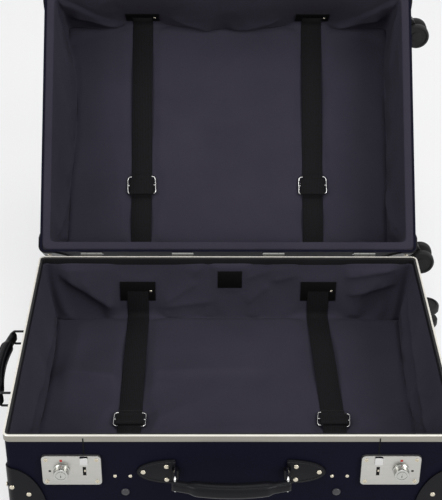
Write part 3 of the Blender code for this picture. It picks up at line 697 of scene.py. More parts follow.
@dataclass(frozen=True)
class Spot:
    """A place for a fixing: where it sits, which way it faces and which way it runs."""

    at: Vector
    facing: Vector
    along: Vector = Vector((1.0, 0.0, 0.0))

    def moved(self, matrix: Matrix) -> "Spot":
        """The spot, taken to its place by a matrix."""
        turn = matrix.to_3x3()
        return Spot(matrix @ self.at, (turn @ self.facing).normalized(), (turn @ self.along).normalized())


class FixingTree:
    """A node tree that sets one head on every point of a mesh, or along its edges at a spacing."""

    def __init__(self, along_edges: bool) -> None:
        """Builds the tree, for points or for runs along edges.

        Args:
            along_edges: Whether heads run along edges.
        """
        self.tree = bpy.data.node_groups.new("stitch_run" if along_edges else "fixings", "GeometryNodeTree")
        face = self.tree.interface
        self.sockets = {}
        for name, kind in (
            ("Places", "Geometry"), ("Head", "Object"), ("Spacing", "Float"), ("Finish", "Material"),
        ):
            made = face.new_socket(name, in_out="INPUT", socket_type=f"NodeSocket{kind}")
            self.sockets[name] = made.identifier
        face.new_socket("Fixings", in_out="OUTPUT", socket_type="NodeSocketGeometry")
        tree = self.tree
        start = add_node(tree, "NodeGroupInput").outputs
        if along_edges:
            curve = add_node(tree, "GeometryNodeMeshToCurve", {0: start["Places"]})
            inputs = {"Curve": curve.outputs[0], "Length": start["Spacing"]}
            places = add_node(tree, "GeometryNodeResampleCurve", inputs, mode="LENGTH")
            along = add_node(tree, "GeometryNodeInputTangent").outputs["Tangent"]
        else:
            places = add_node(tree, "GeometryNodeMeshToPoints", {"Mesh": start["Places"]})
            along = self._attribute("along")
        head = add_node(tree, "GeometryNodeObjectInfo", {"Object": start["Head"]})
        axes = {"Primary Axis": self._attribute("facing"), "Secondary Axis": along}
        turn = add_node(tree, "FunctionNodeAxesToRotation", axes, primary_axis="Z", secondary_axis="X")
        heads = add_node(tree, "GeometryNodeInstanceOnPoints", {
            "Points": places.outputs[0],
            "Instance": head.outputs["Geometry"],
            "Rotation": turn.outputs["Rotation"],
        })
        real = add_node(tree, "GeometryNodeRealizeInstances", {"Geometry": heads.outputs["Instances"]})
        inputs = {"Geometry": real.outputs["Geometry"], "Material": start["Finish"]}
        finish = add_node(tree, "GeometryNodeSetMaterial", inputs)
        add_node(tree, "NodeGroupOutput", {"Fixings": finish.outputs["Geometry"]})

    def _attribute(self, name: str) -> Socket:
        """A vector that each point carries."""
        kind = "GeometryNodeInputNamedAttribute"
        return add_node(self.tree, kind, {"Name": name}, data_type="FLOAT_VECTOR").outputs["Attribute"]

    def set_out(
        self,
        name: str,
        runs: Sequence[Sequence[Spot]],
        head: Shape,
        finish: Finish,
        body: str,
        spacing: float = 0.0,
    ) -> Object:
        """Sets heads out and turns them into one plain piece.

        Args:
            name: The piece's name.
            runs: Runs of spots, joined by edges where the tree works along edges.
            head: The head, standing on its local z 0.
            finish: The heads' finish.
            body: The body that carries them.
            spacing: The distance between heads along an edge.

        Returns:
            The piece.
        """
        face_outward(head)
        head_mesh = to_mesh(head, "head")
        head_mesh.shade_smooth()
        head_mesh.set_sharp_from_angle(angle=math.radians(40))
        head_object = bpy.data.objects.new("head", head_mesh)
        spots = [spot for run in runs for spot in run]
        edges = []
        first = 0
        for run in runs:
            edges += [(first + k, first + k + 1) for k in range(len(run) - 1)] if spacing else []
            first += len(run)
        places = bpy.data.meshes.new("places")
        places.from_pydata([spot.at for spot in spots], edges, [])
        for key in ("facing", "along"):
            values = np.array([getattr(spot, key) for spot in spots], dtype=np.float32)
            places.attributes.new(key, "FLOAT_VECTOR", "POINT").data.foreach_set("vector", values.ravel())
        holder = in_scene("places", places)
        modifier = holder.modifiers.new("fixings", "NODES")
        modifier.node_group = self.tree
        modifier[self.sockets["Head"]] = head_object
        modifier[self.sockets["Finish"]] = finish.material()
        modifier[self.sockets["Spacing"]] = spacing
        mesh = evaluated(holder)
        mesh.name = name
        holder.modifiers.clear()
        for old in (holder, head_object):
            data = old.data
            bpy.data.objects.remove(old)
            bpy.data.meshes.remove(data)
        return hand_over(name, mesh, finish, body)


def rivet_head(radius: float, height: float) -> Shape:
    """A domed rivet head.

    Args:
        radius: Its radius.
        height: Its height.

    Returns:
        The head, standing on z 0.
    """
    profile = [(radius, 0.0), (radius, height * 0.15)]
    angles = np.linspace(0.25, 1.45, 6).tolist()
    profile += [(radius * math.cos(a), height * (0.15 + 0.85 * math.sin(a))) for a in angles]
    return lathe(profile, 24)


def screw_head(radius: float, height: float) -> Shape:
    """A flat screw head with a cross recess.

    Args:
        radius: Its radius.
        height: Its height.

    Returns:
        The head, standing on z 0.
    """
    made = lathe([(radius, 0.0), (radius, height * 0.6), (radius * 0.8, height), (radius * 0.3, height)], 24)
    reach, slot = radius * 0.62, radius * 0.14
    for size in ((reach, slot), (slot, reach)):
        made = cut(made, block((-size[0], -size[1], height * 0.3), (size[0], size[1], height * 2)))
    return made


def stitch_head(length: float, radius: float) -> Shape:
    """One stitch: a short thread that dips at both ends.

    Args:
        length: Its length.
        radius: The thread's radius.

    Returns:
        The stitch, along x.
    """
    shares = np.linspace(0, 1, 7).tolist()
    points = [Vector((length * (t - 0.5), 0.0, radius * 0.8 * math.sin(math.pi * t))) for t in shares]
    return tube(points, radius, sides=8)


class Fixing(Enum):
    """The kinds of head that are set out, as they are named in the pieces."""

    RIVETS = "rivets"
    SMALL_RIVETS = "small_rivets"
    SCREWS = "screws"
    DOMES = "domes"


@dataclass
class Fixings:
    """Rivets, screws and stitches, gathered while the pieces are built and set out once per body.

    A head's size is its radius and height, and a stitch's is its length and radius.
    """

    rivet: Pair = (0.0031, 0.0015)
    small_rivet: Pair = (0.0023, 0.0012)
    screw: Pair = (0.0025, 0.0008)
    dome: Pair = (0.0052, 0.0030)
    thread: Pair = (0.0031, 0.00042)
    spacing: float = 0.0044
    spots: dict[tuple[Fixing, str], list[Spot]] = field(default_factory=dict)
    runs: dict[str, list[list[Spot]]] = field(default_factory=dict)

    def add(self, kind: Fixing, body: str, spots: Iterable[Spot], matrix: Matrix = UNMOVED) -> None:
        """Adds spots of one kind of fixing on a body."""
        self.spots.setdefault((kind, body), []).extend(spot.moved(matrix) for spot in spots)

    def stitch(self, body: str, run: Iterable[Spot], matrix: Matrix = UNMOVED) -> None:
        """Adds a run of stitches on a body."""
        self.runs.setdefault(body, []).append([spot.moved(matrix) for spot in run])

    def set_out(self) -> None:
        """Makes the gathered fixings."""
        heads = {
            Fixing.RIVETS: (rivet_head, self.rivet, RIVET),
            Fixing.SMALL_RIVETS: (rivet_head, self.small_rivet, RIVET),
            Fixing.SCREWS: (screw_head, self.screw, RIVET),
            Fixing.DOMES: (rivet_head, self.dome, DOME),
        }
        points, along = FixingTree(False), FixingTree(True)
        for (kind, body), spots in self.spots.items():
            head, size, finish = heads[kind]
            points.set_out(f"{body}_{kind.value}", [spots], head(*size), finish, body)
        for body, runs in self.runs.items():
            along.set_out(f"{body}_stitches", runs, stitch_head(*self.thread), THREAD, body, self.spacing)


FRONTWARD, BACKWARD = Vector((0.0, -1.0, 0.0)), Vector((0.0, 1.0, 0.0))


def shell_skin(half: Half, inset: float, depth: float, least: float = CASE.edge_radius / 2) -> list[Loop]:
    """Loops of a skin round a half: its flat face, its round edge and its walls.

    Args:
        half: Which half.
        inset: The inset of the walls.
        depth: The height that the walls reach.
        least: The least radius of the corners.

    Returns:
        The loops.
    """
    start = inset - half.wall_inset
    edge = CASE.edge_radius - start
    places = []
    for angle in np.radians(np.linspace(0, 90, 9)).tolist():
        places.append((inset + edge * (1 - math.sin(angle)), start + edge * (1 - math.cos(angle))))
    places.append((inset, depth))
    return [level(case_outline(at, least), half.z(height)) for at, height in places]


@dataclass
class Shells:
    """The two pressed trays, the base's rim and the lid's batten."""

    rim_sheet: float = 0.0012
    rim_band: float = 0.009
    rim_inner: float = 0.0105
    rim_width: float = 0.006
    rim_metal_width: float = 0.0029
    rim_soft: float = 0.0007
    batten: Pair = (0.0095, 0.009)
    hole_radius: float = 0.0071
    trolley_spacing: float = 0.100
    trolley_z: float = 0.0149

    def tray(self, half: Half, depth: float) -> Shape:
        """The tray of one half, up to a depth."""
        outside, inside = (shell_skin(half, half.wall_inset + w, depth) for w in (0.0, CASE.shell_wall))
        return loft(outside + inside[::-1])

    def ring(self, half: Half, section: Sequence[Pair]) -> Shape:
        """A ring round the case from a closed section of (inset, height) points."""
        return loft([level(case_outline(inset), half.z(height)) for inset, height in section], closed=True)

    def build(self) -> None:
        """Makes the trays, the rim, its inner strip and the batten."""
        base = self.tray(BASE, BASE.depth - self.rim_sheet - GAP)
        for side in (-1, 1):
            y = side * self.trolley_spacing / 2
            start, end = (END_X - 0.003, y, self.trolley_z), (END_X + 0.006, y, self.trolley_z)
            base = cut(base, rod(start, end, self.hole_radius))
        piece("case_base_shell", base, FIBREBOARD, "base", ["base_shell"])
        piece("case_lid_shell", self.tray(LID, LID.depth), FIBREBOARD, "lid", ["lid_shell"], LID.to_rest())
        top, sheet, metal = BASE.depth, self.rim_sheet, self.rim_metal_width
        soft = self.rim_soft
        piece("rim_band", self.ring(BASE, [
            (0.0, top - self.rim_band), (0.0, top - soft), (soft * 0.3, top - soft * 0.3), (soft, top),
            (metal - 0.0002, top), (metal, top - 0.0002), (metal, top - sheet), (sheet, top - sheet),
            (sheet, top - self.rim_band),
        ]), RIM_METAL, "base", ["base_rim"])
        # The bead along the rim's top, in the lighter finish that paints in its highlight.
        piece("rim_bead", self.ring(BASE, [
            (0.0002, top - 0.0011), (-0.0001, top - 0.0007), (0.0004, top + 0.0001), (0.0014, top + 0.0003),
            (metal - 0.0005, top + 0.0001), (metal, top - 0.0007), (metal - 0.0002, top - 0.0011),
        ]), RIM_BEAD_HIGHLIGHT, "base")
        wide = self.rim_width
        piece("rim_inner_strip", self.ring(BASE, [
            (metal, top - sheet), (metal, top - 0.0003), (wide - soft, top - 0.0003),
            (wide - soft * 0.3, top - soft), (wide, top - soft * 2), (wide, top - self.rim_inner),
            (wide - sheet, top - self.rim_inner), (wide - sheet, top - sheet),
        ]), STRIP, "base")
        start = CASE.shell_wall + GAP
        wide, tall = self.batten
        end, high = start + wide, LID.depth - 2 * GAP - CASE.lining
        batten = self.ring(LID, [(start, high - tall), (start, high), (end, high), (end, high - tall)])
        piece("edge_batten", batten, WOOD, "lid", ["lid_batten"], LID.to_rest())


def strap_x(half: Half, side: int, y: Array | float) -> Array | float:
    """The middle of a strap at a place across the case: one strap of the base has slipped outwards."""
    slipped = CASE.strap_slip if half is BASE and side > 0 else 0.0
    return side * CASE.strap_place + slipped * np.clip(0.5 - np.asarray(y) / CASE.width, 0.0, 1.0)


class Side(Enum):
    """The walls of a half, in the order that a row of the lining runs round them."""

    FRONT = 0
    RIGHT = 1
    BACK = 2
    LEFT = 3

    @property
    def lengthwise(self) -> bool:
        """Whether the wall runs along the case."""
        return self.value % 2 == 0


@dataclass(frozen=True)
class Crease:
    """A fold that stands in from a wall between two places, steep below and soft above.

    A place is given by its x or y along the wall and its drop below the lip.
    """

    side: Side
    start: Pair
    end: Pair
    depth: float
    soft: float = 0.018
    steep: float = 0.004

    def stands(self, along: Array, drop: Array) -> Array:
        """How far the fold stands in at places on its wall.

        Args:
            along: The places along the wall.
            drop: Their drops below the lip.

        Returns:
            The distances.
        """
        run = np.subtract(self.end, self.start)
        length = float(np.hypot(*run))
        run = run / length
        across = np.array([run[1], -run[0]]) * (1.0 if run[0] >= 0 else -1.0)
        at_along, at_drop = along - self.start[0], drop - self.start[1]
        share = (at_along * run[0] + at_drop * run[1]) / length
        away = at_along * across[0] + at_drop * across[1]
        ends = np.clip(np.minimum(share, 1.0 - share) / 0.25 + 0.25, 0.0, 1.0)
        soft, steep = (np.exp(-np.abs(away) / slope) for slope in (self.soft, self.steep))
        return self.depth * np.where(away > 0, soft, steep) * ends * ends * (3 - 2 * ends)


@dataclass(frozen=True)
class LiningSizes:
    """How a loose lining is cut and how it folds."""

    draw_in: float = 0.009
    draw_up: float = 0.011
    slack: float = 0.003
    turn: float = 0.006
    tuck: float = 0.003
    puff: float = 0.0042
    folds_long: int = 7
    folds_short: int = 5
    cell: float = 0.0060
    sheet: float = 0.0008
    turn_rows: int = 3
    strap_hold: float = 0.027
    settling: float = 0.009
    oversize: float = 0.018
    frames: int = 24
    small_folds: tuple[int, int] = (14, 6)
    floor_folds: int = 9
    fold_height: Pair = (0.0035, 0.0075)
    fold_length: Pair = (0.05, 0.12)
    fold_slope: Pair = (0.028, 0.008)
    lid_share: float = 0.4
    label: tuple[float, float, float, float] = (0.0025, 0.0865, 0.034, 0.028)


# How far each wall is drawn in at the floor, in millimetres from one corner to the next.
BASE_DRAW = {
    Side.FRONT: (8, 12, 12, 12, 8),
    Side.RIGHT: (8, 15, 17, 13, 8),
    Side.BACK: (8, 10, 9, 10, 8),
    Side.LEFT: (8, 13, 12, 9, 8),
}
LID_DRAW = {
    Side.FRONT: (6, 9, 8, 10, 6),
    Side.RIGHT: (6, 6, 4, 4, 6),
    Side.BACK: (6, 9, 9, 9, 6),
    Side.LEFT: (6, 8, 17, 16, 6),
}
BASE_CREASES = (
    Crease(Side.BACK, (-0.250, 0.010), (-0.150, 0.080), 0.0075, 0.030, 0.005),
    Crease(Side.BACK, (0.170, 0.052), (0.250, 0.028), 0.0050, 0.020, 0.004),
    Crease(Side.BACK, (0.166, 0.022), (0.252, 0.006), 0.0045, 0.022, 0.005),
    Crease(Side.BACK, (0.060, 0.030), (0.118, 0.014), 0.0030, 0.020, 0.006),
    Crease(Side.BACK, (-0.105, 0.072), (-0.020, 0.062), 0.0030, 0.022, 0.006),
    Crease(Side.RIGHT, (-0.150, 0.060), (0.165, 0.030), 0.0060, 0.022, 0.005),
    Crease(Side.RIGHT, (0.060, 0.075), (0.170, 0.055), 0.0050, 0.016, 0.004),
    Crease(Side.LEFT, (-0.140, 0.050), (0.160, 0.070), 0.0040, 0.024, 0.007),
)
LID_CREASES = (
    Crease(Side.FRONT, (-0.238, 0.045), (-0.150, 0.098), 0.0060, 0.024, 0.004),
    Crease(Side.FRONT, (-0.085, 0.070), (-0.020, 0.098), 0.0060, 0.020, 0.005),
    Crease(Side.FRONT, (0.000, 0.098), (0.080, 0.072), 0.0060, 0.022, 0.005),
    Crease(Side.FRONT, (0.150, 0.098), (0.238, 0.050), 0.0055, 0.024, 0.004),
    Crease(Side.RIGHT, (0.080, 0.100), (0.168, 0.050), 0.0050, 0.018, 0.004),
    Crease(Side.LEFT, (0.090, 0.098), (0.168, 0.045), 0.0045, 0.020, 0.005),
)


@dataclass
class Lining:
    """The loose lining of one half, fastened round the edge and held down by the straps."""

    half: Half
    seed: int
    size: LiningSizes = LiningSizes()

    def __post_init__(self) -> None:
        """Works out the lining's grid and draws where its long folds lie."""
        half = self.half
        self.random = np.random.default_rng(self.seed)
        self.nx = round((CASE.length - 0.04) / self.size.cell)
        self.ny = round((CASE.width - 0.04) / self.size.cell)
        wall, high = half.lining_inset, half.depth - GAP
        self.lip = [(wall, half.depth - Shells.rim_inner + 0.0025)]
        if half is LID:
            outer, inner = (CASE.shell_wall + GAP, high), (wall, high - 0.0008)
            self.lip = [outer, (0.0080, high + 0.0004), (wall - 0.0010, high), inner]
        self.top = self.lip[-1][1]
        self.down = round((self.top - half.floor_rise) / self.size.cell)
        self.draw = BASE_DRAW if half is BASE else LID_DRAW
        self.creases = BASE_CREASES if half is BASE else LID_CREASES
        folds = {side: self.size.folds_long if side.lengthwise else self.size.folds_short for side in Side}
        self.places = {
            side: np.arange(n + 1) + self.random.uniform(-0.18, 0.18, n + 1) for side, n in folds.items()
        }
        self.full = {side: self.random.uniform(0.7, 1.5, n + 1) for side, n in folds.items()}

    def _loose(self, step: int, draw: Array) -> tuple[Array, Array]:
        """Inset and height of the loose wall at one step down, for how far it is drawn in at the floor.

        Args:
            step: The row, counted from the lip.
            draw: How far the wall is drawn in at the floor.

        Returns:
            The insets and heights.
        """
        turn, floor, wall = self.size.turn, self.half.floor_rise, self.half.lining_inset
        if step <= self.down:
            share = step / self.down
            inset = wall + draw * (0.25 * share + 0.75 * share * share)
            return inset, np.full_like(draw, self.top + (floor + turn - self.top) * share)
        angle = math.radians(90 * (step - self.down) / self.size.turn_rows)
        inset = wall + draw - self.size.tuck * (1 - math.cos(angle))
        return inset, np.full_like(draw, floor + turn * (1 - math.sin(angle)))

    def _held(self, step: int) -> Pair:
        """Inset and height of the wall under a strap at one step down.

        Args:
            step: The row, counted from the lip.

        Returns:
            The inset and height.
        """
        size, floor, wall = self.size, self.half.floor_rise, self.half.lining_inset
        if step <= self.down:
            share = step / self.down
            reached = min(share * 4.0, 1.0)
            return wall + size.slack * reached, self.top + (floor + size.draw_up - self.top) * share
        angle = math.radians(90 * (step - self.down) / size.turn_rows)
        inset = wall + size.slack + size.draw_in * (1 - math.cos(angle))
        return inset, floor + size.draw_up * (1 - math.sin(angle))

    def _from_strap(self, x: Array, y: Array) -> Array:
        """How far a place is from the middle of the nearer strap."""
        return np.minimum(*(np.abs(x - strap_x(self.half, side, y)) for side in (-1, 1)))

    def _strapped(self, x: Array, y: Array) -> Array:
        """How firmly a place is held by a strap, from 0 to 1."""
        return np.clip((self.size.strap_hold + 0.014 - self._from_strap(x, y)) / 0.014, 0.0, 1.0)

    def _labelled(self, x: Array, y: Array, height: Array) -> Array:
        """Whether a place lies under the label on the back wall.

        Args:
            x: Places along the case.
            y: Places across it.
            height: Their heights.

        Returns:
            True or false for each place.
        """
        at_x, at_height, wide, tall = self.size.label
        near = (np.abs(x - at_x) < wide / 2 + 0.008) & (np.abs(height - at_height) < tall / 2 + 0.008)
        return near & (y > 0.15) & (self.half is BASE)

    def _wall(self, side: Side, step: int, share: Array, along: Array) -> tuple[Array, Array]:
        """Inset and height along one wall at one step down, with its folds.

        Args:
            side: The wall.
            step: The row, counted from the lip.
            share: Shares of the way along it.
            along: The x or y at those shares.

        Returns:
            The insets and heights.
        """
        controls = np.array(self.draw[side]) * 0.001
        fine = np.linspace(0, 1, 33)
        smooth = np.interp(share, fine, np.interp(fine, np.linspace(0, 1, len(controls)), controls))
        inset, height = self._loose(step, smooth)
        down = min(step / self.down, 1.0)
        window = np.clip(np.sin(np.pi * share) * 3.0, 0.0, 1.0)
        knots = np.linspace(0, 1, len(self.places[side]))
        wave = np.sin(np.pi * np.interp(share, knots, self.places[side])) ** 2
        full = np.interp(share, knots, self.full[side])
        fading = max(0.0, 1.0 - max(step - self.down, 0) / self.size.turn_rows)
        inset = inset - self.size.slack * full * wave * window * down * fading
        inset = np.maximum(inset, self.half.lining_inset)
        if side.lengthwise:
            face_y = CASE.width / 2 * (1 if side is Side.BACK else -1)
            held = self._strapped(along, np.full_like(along, face_y))
            held_inset, held_height = self._held(step)
            inset = inset + (held_inset - inset) * held
            height = height + (held_height - height) * held
            under = self._labelled(along, np.full_like(along, 1.0 if side is Side.BACK else -1.0), height)
            inset = np.where(under, self.half.lining_inset + self.size.slack, inset)
        return inset, height

    def _sides(self, half_l: float, half_w: float) -> Iterator[tuple[Side, Array, Array, Array]]:
        """Each wall of one row, with the share along it and the x and y of its points.

        Args:
            half_l: Half the length of the row.
            half_w: Half its width.

        Yields:
            The wall, shares, x and y.
        """
        for side in Side:
            count = self.nx if side.lengthwise else self.ny
            share = np.arange(count) / count
            sign = 1.0 if side.value < 2 else -1.0
            run = sign * (2 * share - 1)
            if side.lengthwise:
                yield side, share, run * half_l, np.full(count, -sign * half_w)
            else:
                yield side, share, np.full(count, sign * half_l), run * half_w

    def _loop(self, step: int) -> Array:
        """The points of one row round the case, as x, y and height.

        Args:
            step: The row, counted from the lip.

        Returns:
            The points.
        """
        corner_draw = np.array([self.draw[Side.FRONT][0] * 0.001])
        inset = float(self._loose(step, corner_draw)[0][0])
        half_l, half_w = CASE.length / 2 - inset, CASE.width / 2 - inset
        parts = []
        for side, share, x, y in self._sides(half_l, half_w):
            walled, height = self._wall(side, step, share, x if side.lengthwise else y)
            number = np.full(len(x), float(side.value))
            parts.append(np.stack([x, y, walled - inset, number, height], axis=1))
        points = np.concatenate(parts)
        flat = self._rounded(points[:, :2], half_l, half_w, max(CASE.corner_radius - inset, 0.006))
        inward = np.array([[0.0, 1.0], [-1.0, 0.0], [0.0, -1.0], [1.0, 0.0]])[points[:, 3].astype(int)]
        return np.c_[flat + inward * points[:, 2:3], points[:, 4]]

    def _border(self, inset: float, height: float) -> Array:
        """The points of one row of the flat border round the lip.

        Args:
            inset: The row's inset.
            height: Its height.

        Returns:
            The points, as x, y and height.
        """
        half_l, half_w = CASE.length / 2 - inset, CASE.width / 2 - inset
        parts = [np.stack([x, y], axis=1) for _, _, x, y in self._sides(half_l, half_w)]
        flat = self._rounded(np.concatenate(parts), half_l, half_w, max(CASE.corner_radius - inset, 0.004))
        return np.c_[flat, np.full(len(flat), height)]

    def _rounded(self, flat: Array, half_l: float, half_w: float, radius: float) -> Array:
        """Points of a rectangle with those at its corners drawn onto a round.

        Args:
            flat: The points, as x and y.
            half_l: Half the rectangle's length.
            half_w: Half its width.
            radius: The radius of the round.

        Returns:
            The points, moved.
        """
        core = np.clip(flat, (radius - half_l, radius - half_w), (half_l - radius, half_w - radius))
        away = flat - core
        reach = np.maximum(np.linalg.norm(away, axis=1, keepdims=True), 1e-9)
        corner = (np.abs(away) > 1e-9).all(axis=1)
        return np.where(corner[:, None], core + away / reach * radius, flat)

    def _floor(self, edge: Array) -> Array:
        """Grid points of the floor between its edge points, with low creases across it.

        Args:
            edge: The points round the floor's edge.

        Returns:
            The points, in rows along x.
        """
        nx, ny, size = self.nx, self.ny, self.size
        front, right = edge[: nx + 1], edge[nx : nx + ny + 1]
        back = edge[nx + ny : 2 * nx + ny + 1][::-1]
        left = np.concatenate([edge[2 * nx + ny :], edge[:1]])[::-1]
        u = np.linspace(0, 1, nx + 1)[None, :, None]
        v = np.linspace(0, 1, ny + 1)[:, None, None]
        grid = (1 - v) * front[None] + v * back[None] + (1 - u) * left[:, None] + u * right[:, None]
        corners = (1 - u) * (1 - v) * front[0] + u * (1 - v) * front[-1]
        grid -= corners + (1 - u) * v * back[0] + u * v * back[-1]
        x, y = grid[..., 0], grid[..., 1]
        cells = np.minimum(np.minimum(u, 1 - u) * nx, np.minimum(v, 1 - v) * ny)
        from_edge = (cells * size.cell)[..., 0]
        lift = size.puff * (1 - np.exp(-((from_edge / 0.005) ** 2)))
        inside = np.clip(from_edge / 0.03, 0.0, 1.0)
        places = [(-0.05, 0.045), (0.03, -0.075), (-0.19, 0.03)] if self.half is BASE else []
        places += self.random.uniform((-0.22, -0.14), (0.22, 0.14), (size.floor_folds, 2)).tolist()
        for number, centre in enumerate(places):
            angle = (0.0, 0.15, -0.1, 0.8, -0.7, 1.5)[number % 6] + self.random.normal(0.0, 0.12)
            across = (y - centre[1]) * math.cos(angle) - (x - centre[0]) * math.sin(angle)
            down = (x - centre[0]) * math.cos(angle) + (y - centre[1]) * math.sin(angle)
            tall = self.random.uniform(*size.fold_height) * (1.0 if self.half is BASE else size.lid_share)
            long = self.random.uniform(*size.fold_length)
            soft, steep = (np.exp(-np.abs(across) / slope) for slope in size.fold_slope)
            lift += tall * np.where(across > 0, soft, steep) * np.exp(-((down / long) ** 2)) * inside
        grid[..., 2] += lift * (1 - self._pressed(x, y))
        return grid

    def _pressed(self, x: Array, y: Array) -> Array:
        """How firmly the floor is pressed down by a strap or its buckle, from 0 to 1."""
        reach = 0.017 + 0.009 * np.exp(-(((y - self.half.buckle_y) / 0.022) ** 4))
        return np.clip((reach + 0.007 - self._from_strap(x, y)) / 0.007, 0.0, 1.0)

    def folded(self, points: Array) -> Array:
        """Points of the smoothed lining, as x, y and height, with the sharp folds of its walls.

        Args:
            points: The points.

        Returns:
            The points, moved.
        """
        x, y, height = points.T
        to_wall = np.stack([CASE.width / 2 + y, CASE.length / 2 - x, CASE.width / 2 - y, CASE.length / 2 + x])
        nearest = to_wall.argmin(axis=0)
        drop = self.top - height
        above = (height - self.half.floor_rise - 0.0012) / 0.008
        free = np.clip(drop / 0.010, 0.0, 1.0) * np.clip(above, 0.0, 1.0)
        free = free * (1.0 - self._labelled(x, y, height))
        moved = points.copy()
        for side in Side:
            along, span = (x, CASE.length) if side.lengthwise else (y, CASE.width)
            inset = np.zeros(len(points))
            for crease in self.creases + tuple(self._small_folds(side, span)):
                if crease.side is side:
                    inset += crease.stands(along, drop)
            from_end = (span / 2 - np.abs(along) - 0.022) / 0.02
            inset *= free * (nearest == side.value) * np.clip(from_end, 0.0, 1.0)
            if side.lengthwise:
                inset *= 1.0 - self._strapped(x, y)
            inward = 1.0 if side in (Side.FRONT, Side.LEFT) else -1.0
            moved[:, 1 if side.lengthwise else 0] += inset * inward
        return moved

    def _small_folds(self, side: Side, span: float) -> Iterator[Crease]:
        """Small slanting folds set at random along one wall.

        Args:
            side: The wall.
            span: Its length.

        Yields:
            Each fold.
        """
        deep = self.top - self.half.floor_rise
        for _ in range(round(span * self.size.small_folds[side.value % 2])):
            along = self.random.uniform(-0.42, 0.42) * span
            drop = self.random.uniform(0.15, 0.9) * deep
            angle = self.random.choice((-1.0, 1.0)) * self.random.uniform(0.25, 1.1)
            long = self.random.uniform(0.04, 0.08)
            end = (along + long * math.cos(angle), drop + long * math.sin(angle))
            yield Crease(side, (along, drop), end, self.random.uniform(0.0010, 0.0024), 0.016, 0.005)

    def sheet(self) -> tuple[Array, list[tuple[int, ...]], Array, Array, dict[int, float]]:
        """The lining before it settles.

        Returns:
            Its points as x, y and height, its faces, the hold and the slack of each point, and how
            crisp the fold is at the points of its edges.
        """
        loops = [self._border(*place) for place in self.lip]
        loops += [self._loop(step) for step in range(1, self.down + self.size.turn_rows + 1)]
        around = len(loops[0])
        floor = self._floor(loops[-1])
        points = np.concatenate(loops[:-1] + [floor.reshape(-1, 3)])
        wide = self.nx + 1
        start = (len(loops) - 1) * around
        edge = [start + i for i in range(self.nx)]
        edge += [start + j * wide + self.nx for j in range(self.ny)]
        edge += [start + self.ny * wide + self.nx - i for i in range(self.nx)]
        edge += [start + (self.ny - j) * wide for j in range(self.ny)]
        rows = [[k * around + i for i in range(around)] for k in range(len(loops) - 1)] + [edge]
        faces = []
        for high, low in zip(rows, rows[1:]):
            faces += [(high[i], high[(i + 1) % around], low[(i + 1) % around], low[i]) for i in range(around)]
        for j in range(self.ny):
            for i in range(self.nx):
                first = start + j * wide + i
                faces.append((first, first + 1, first + wide + 1, first + wide))
        x, y, height = points.T
        hold = np.zeros(len(points))
        hold[: len(self.lip) * around] = 1.0
        on_wall = np.abs(y) > CASE.width / 2 - self.half.lining_inset - 0.008
        away = self._from_strap(x, y)
        low_enough = height < self.half.depth - self.half.patch_drop + 0.020
        hold[((away < 0.016) | ((away < self.size.strap_hold) & on_wall)) & low_enough] = 1.0
        hold[self._labelled(x, y, height)] = 1.0
        slack = np.ones(len(points))
        slack[start:] = 0.15
        loose = 1.0 - self._strapped(x, y)
        crisp = {index: 0.9 * float(loose[index]) for index in edge}
        crisp.update({index: 0.8 for index in rows[len(self.lip) - 1]})
        return points, faces, hold, slack, crisp

    def to_world(self, points: Array) -> Array:
        """Points given by their height, taken to rest.

        Args:
            points: The points, as x, y and height.

        Returns:
            The points at rest.
        """
        z = self.half.face_z + self.half.upward * points[:, 2]
        placed = np.c_[points[:, :2], z, np.ones(len(points))]
        return (placed @ np.array(self.half.to_rest()).T)[:, :3]

    def to_half(self, points: Array) -> Array:
        """Points at rest, given by their height in the half.

        Args:
            points: The points at rest.

        Returns:
            The points, as x, y and height.
        """
        drawn = (np.c_[points, np.ones(len(points))] @ np.array(self.half.to_rest().inverted()).T)[:, :3]
        drawn[:, 2] = (drawn[:, 2] - self.half.face_z) * self.half.upward
        return drawn

    def settle(self, mesh: Mesh, hold: Array, slack: Array) -> Array:
        """Lets the cloth settle under its own weight, a little larger than the space it lines.

        Args:
            mesh: The cloth, at rest.
            hold: How firmly each point is held, from 0 to 1.
            slack: How much of the extra size each point gets, from 0 to 1.

        Returns:
            The settled points.
        """
        cloth = in_scene("settling", mesh)
        for name, weights in (("hold", hold), ("slack", slack)):
            group = cloth.vertex_groups.new(name=name)
            for value in np.unique(weights):
                group.add([int(k) for k in np.flatnonzero(weights == value)], float(value), "REPLACE")
        modifier = cloth.modifiers.new("settle", "CLOTH")
        settings = modifier.settings
        settings.quality = 6
        settings.mass = 0.12
        settings.air_damping = 4.0
        settings.tension_stiffness = 18.0
        settings.compression_stiffness = 14.0
        settings.shear_stiffness = 5.0
        settings.bending_stiffness = 0.6
        settings.vertex_group_mass = "hold"
        settings.vertex_group_shrink = "slack"
        settings.shrink_min = 0.0
        settings.shrink_max = -self.size.oversize
        modifier.collision_settings.use_collision = False
        modifier.point_cache.frame_start = 1
        modifier.point_cache.frame_end = self.size.frames
        scene = bpy.context.scene
        for number in range(1, self.size.frames + 1):
            scene.frame_set(number)
        settled = cloth.evaluated_get(bpy.context.evaluated_depsgraph_get()).data
        points = np.empty(len(settled.vertices) * 3, dtype=np.float32)
        settled.vertices.foreach_get("co", points)
        bpy.data.objects.remove(cloth)
        scene.frame_set(1)
        return points.reshape(-1, 3).astype(float)

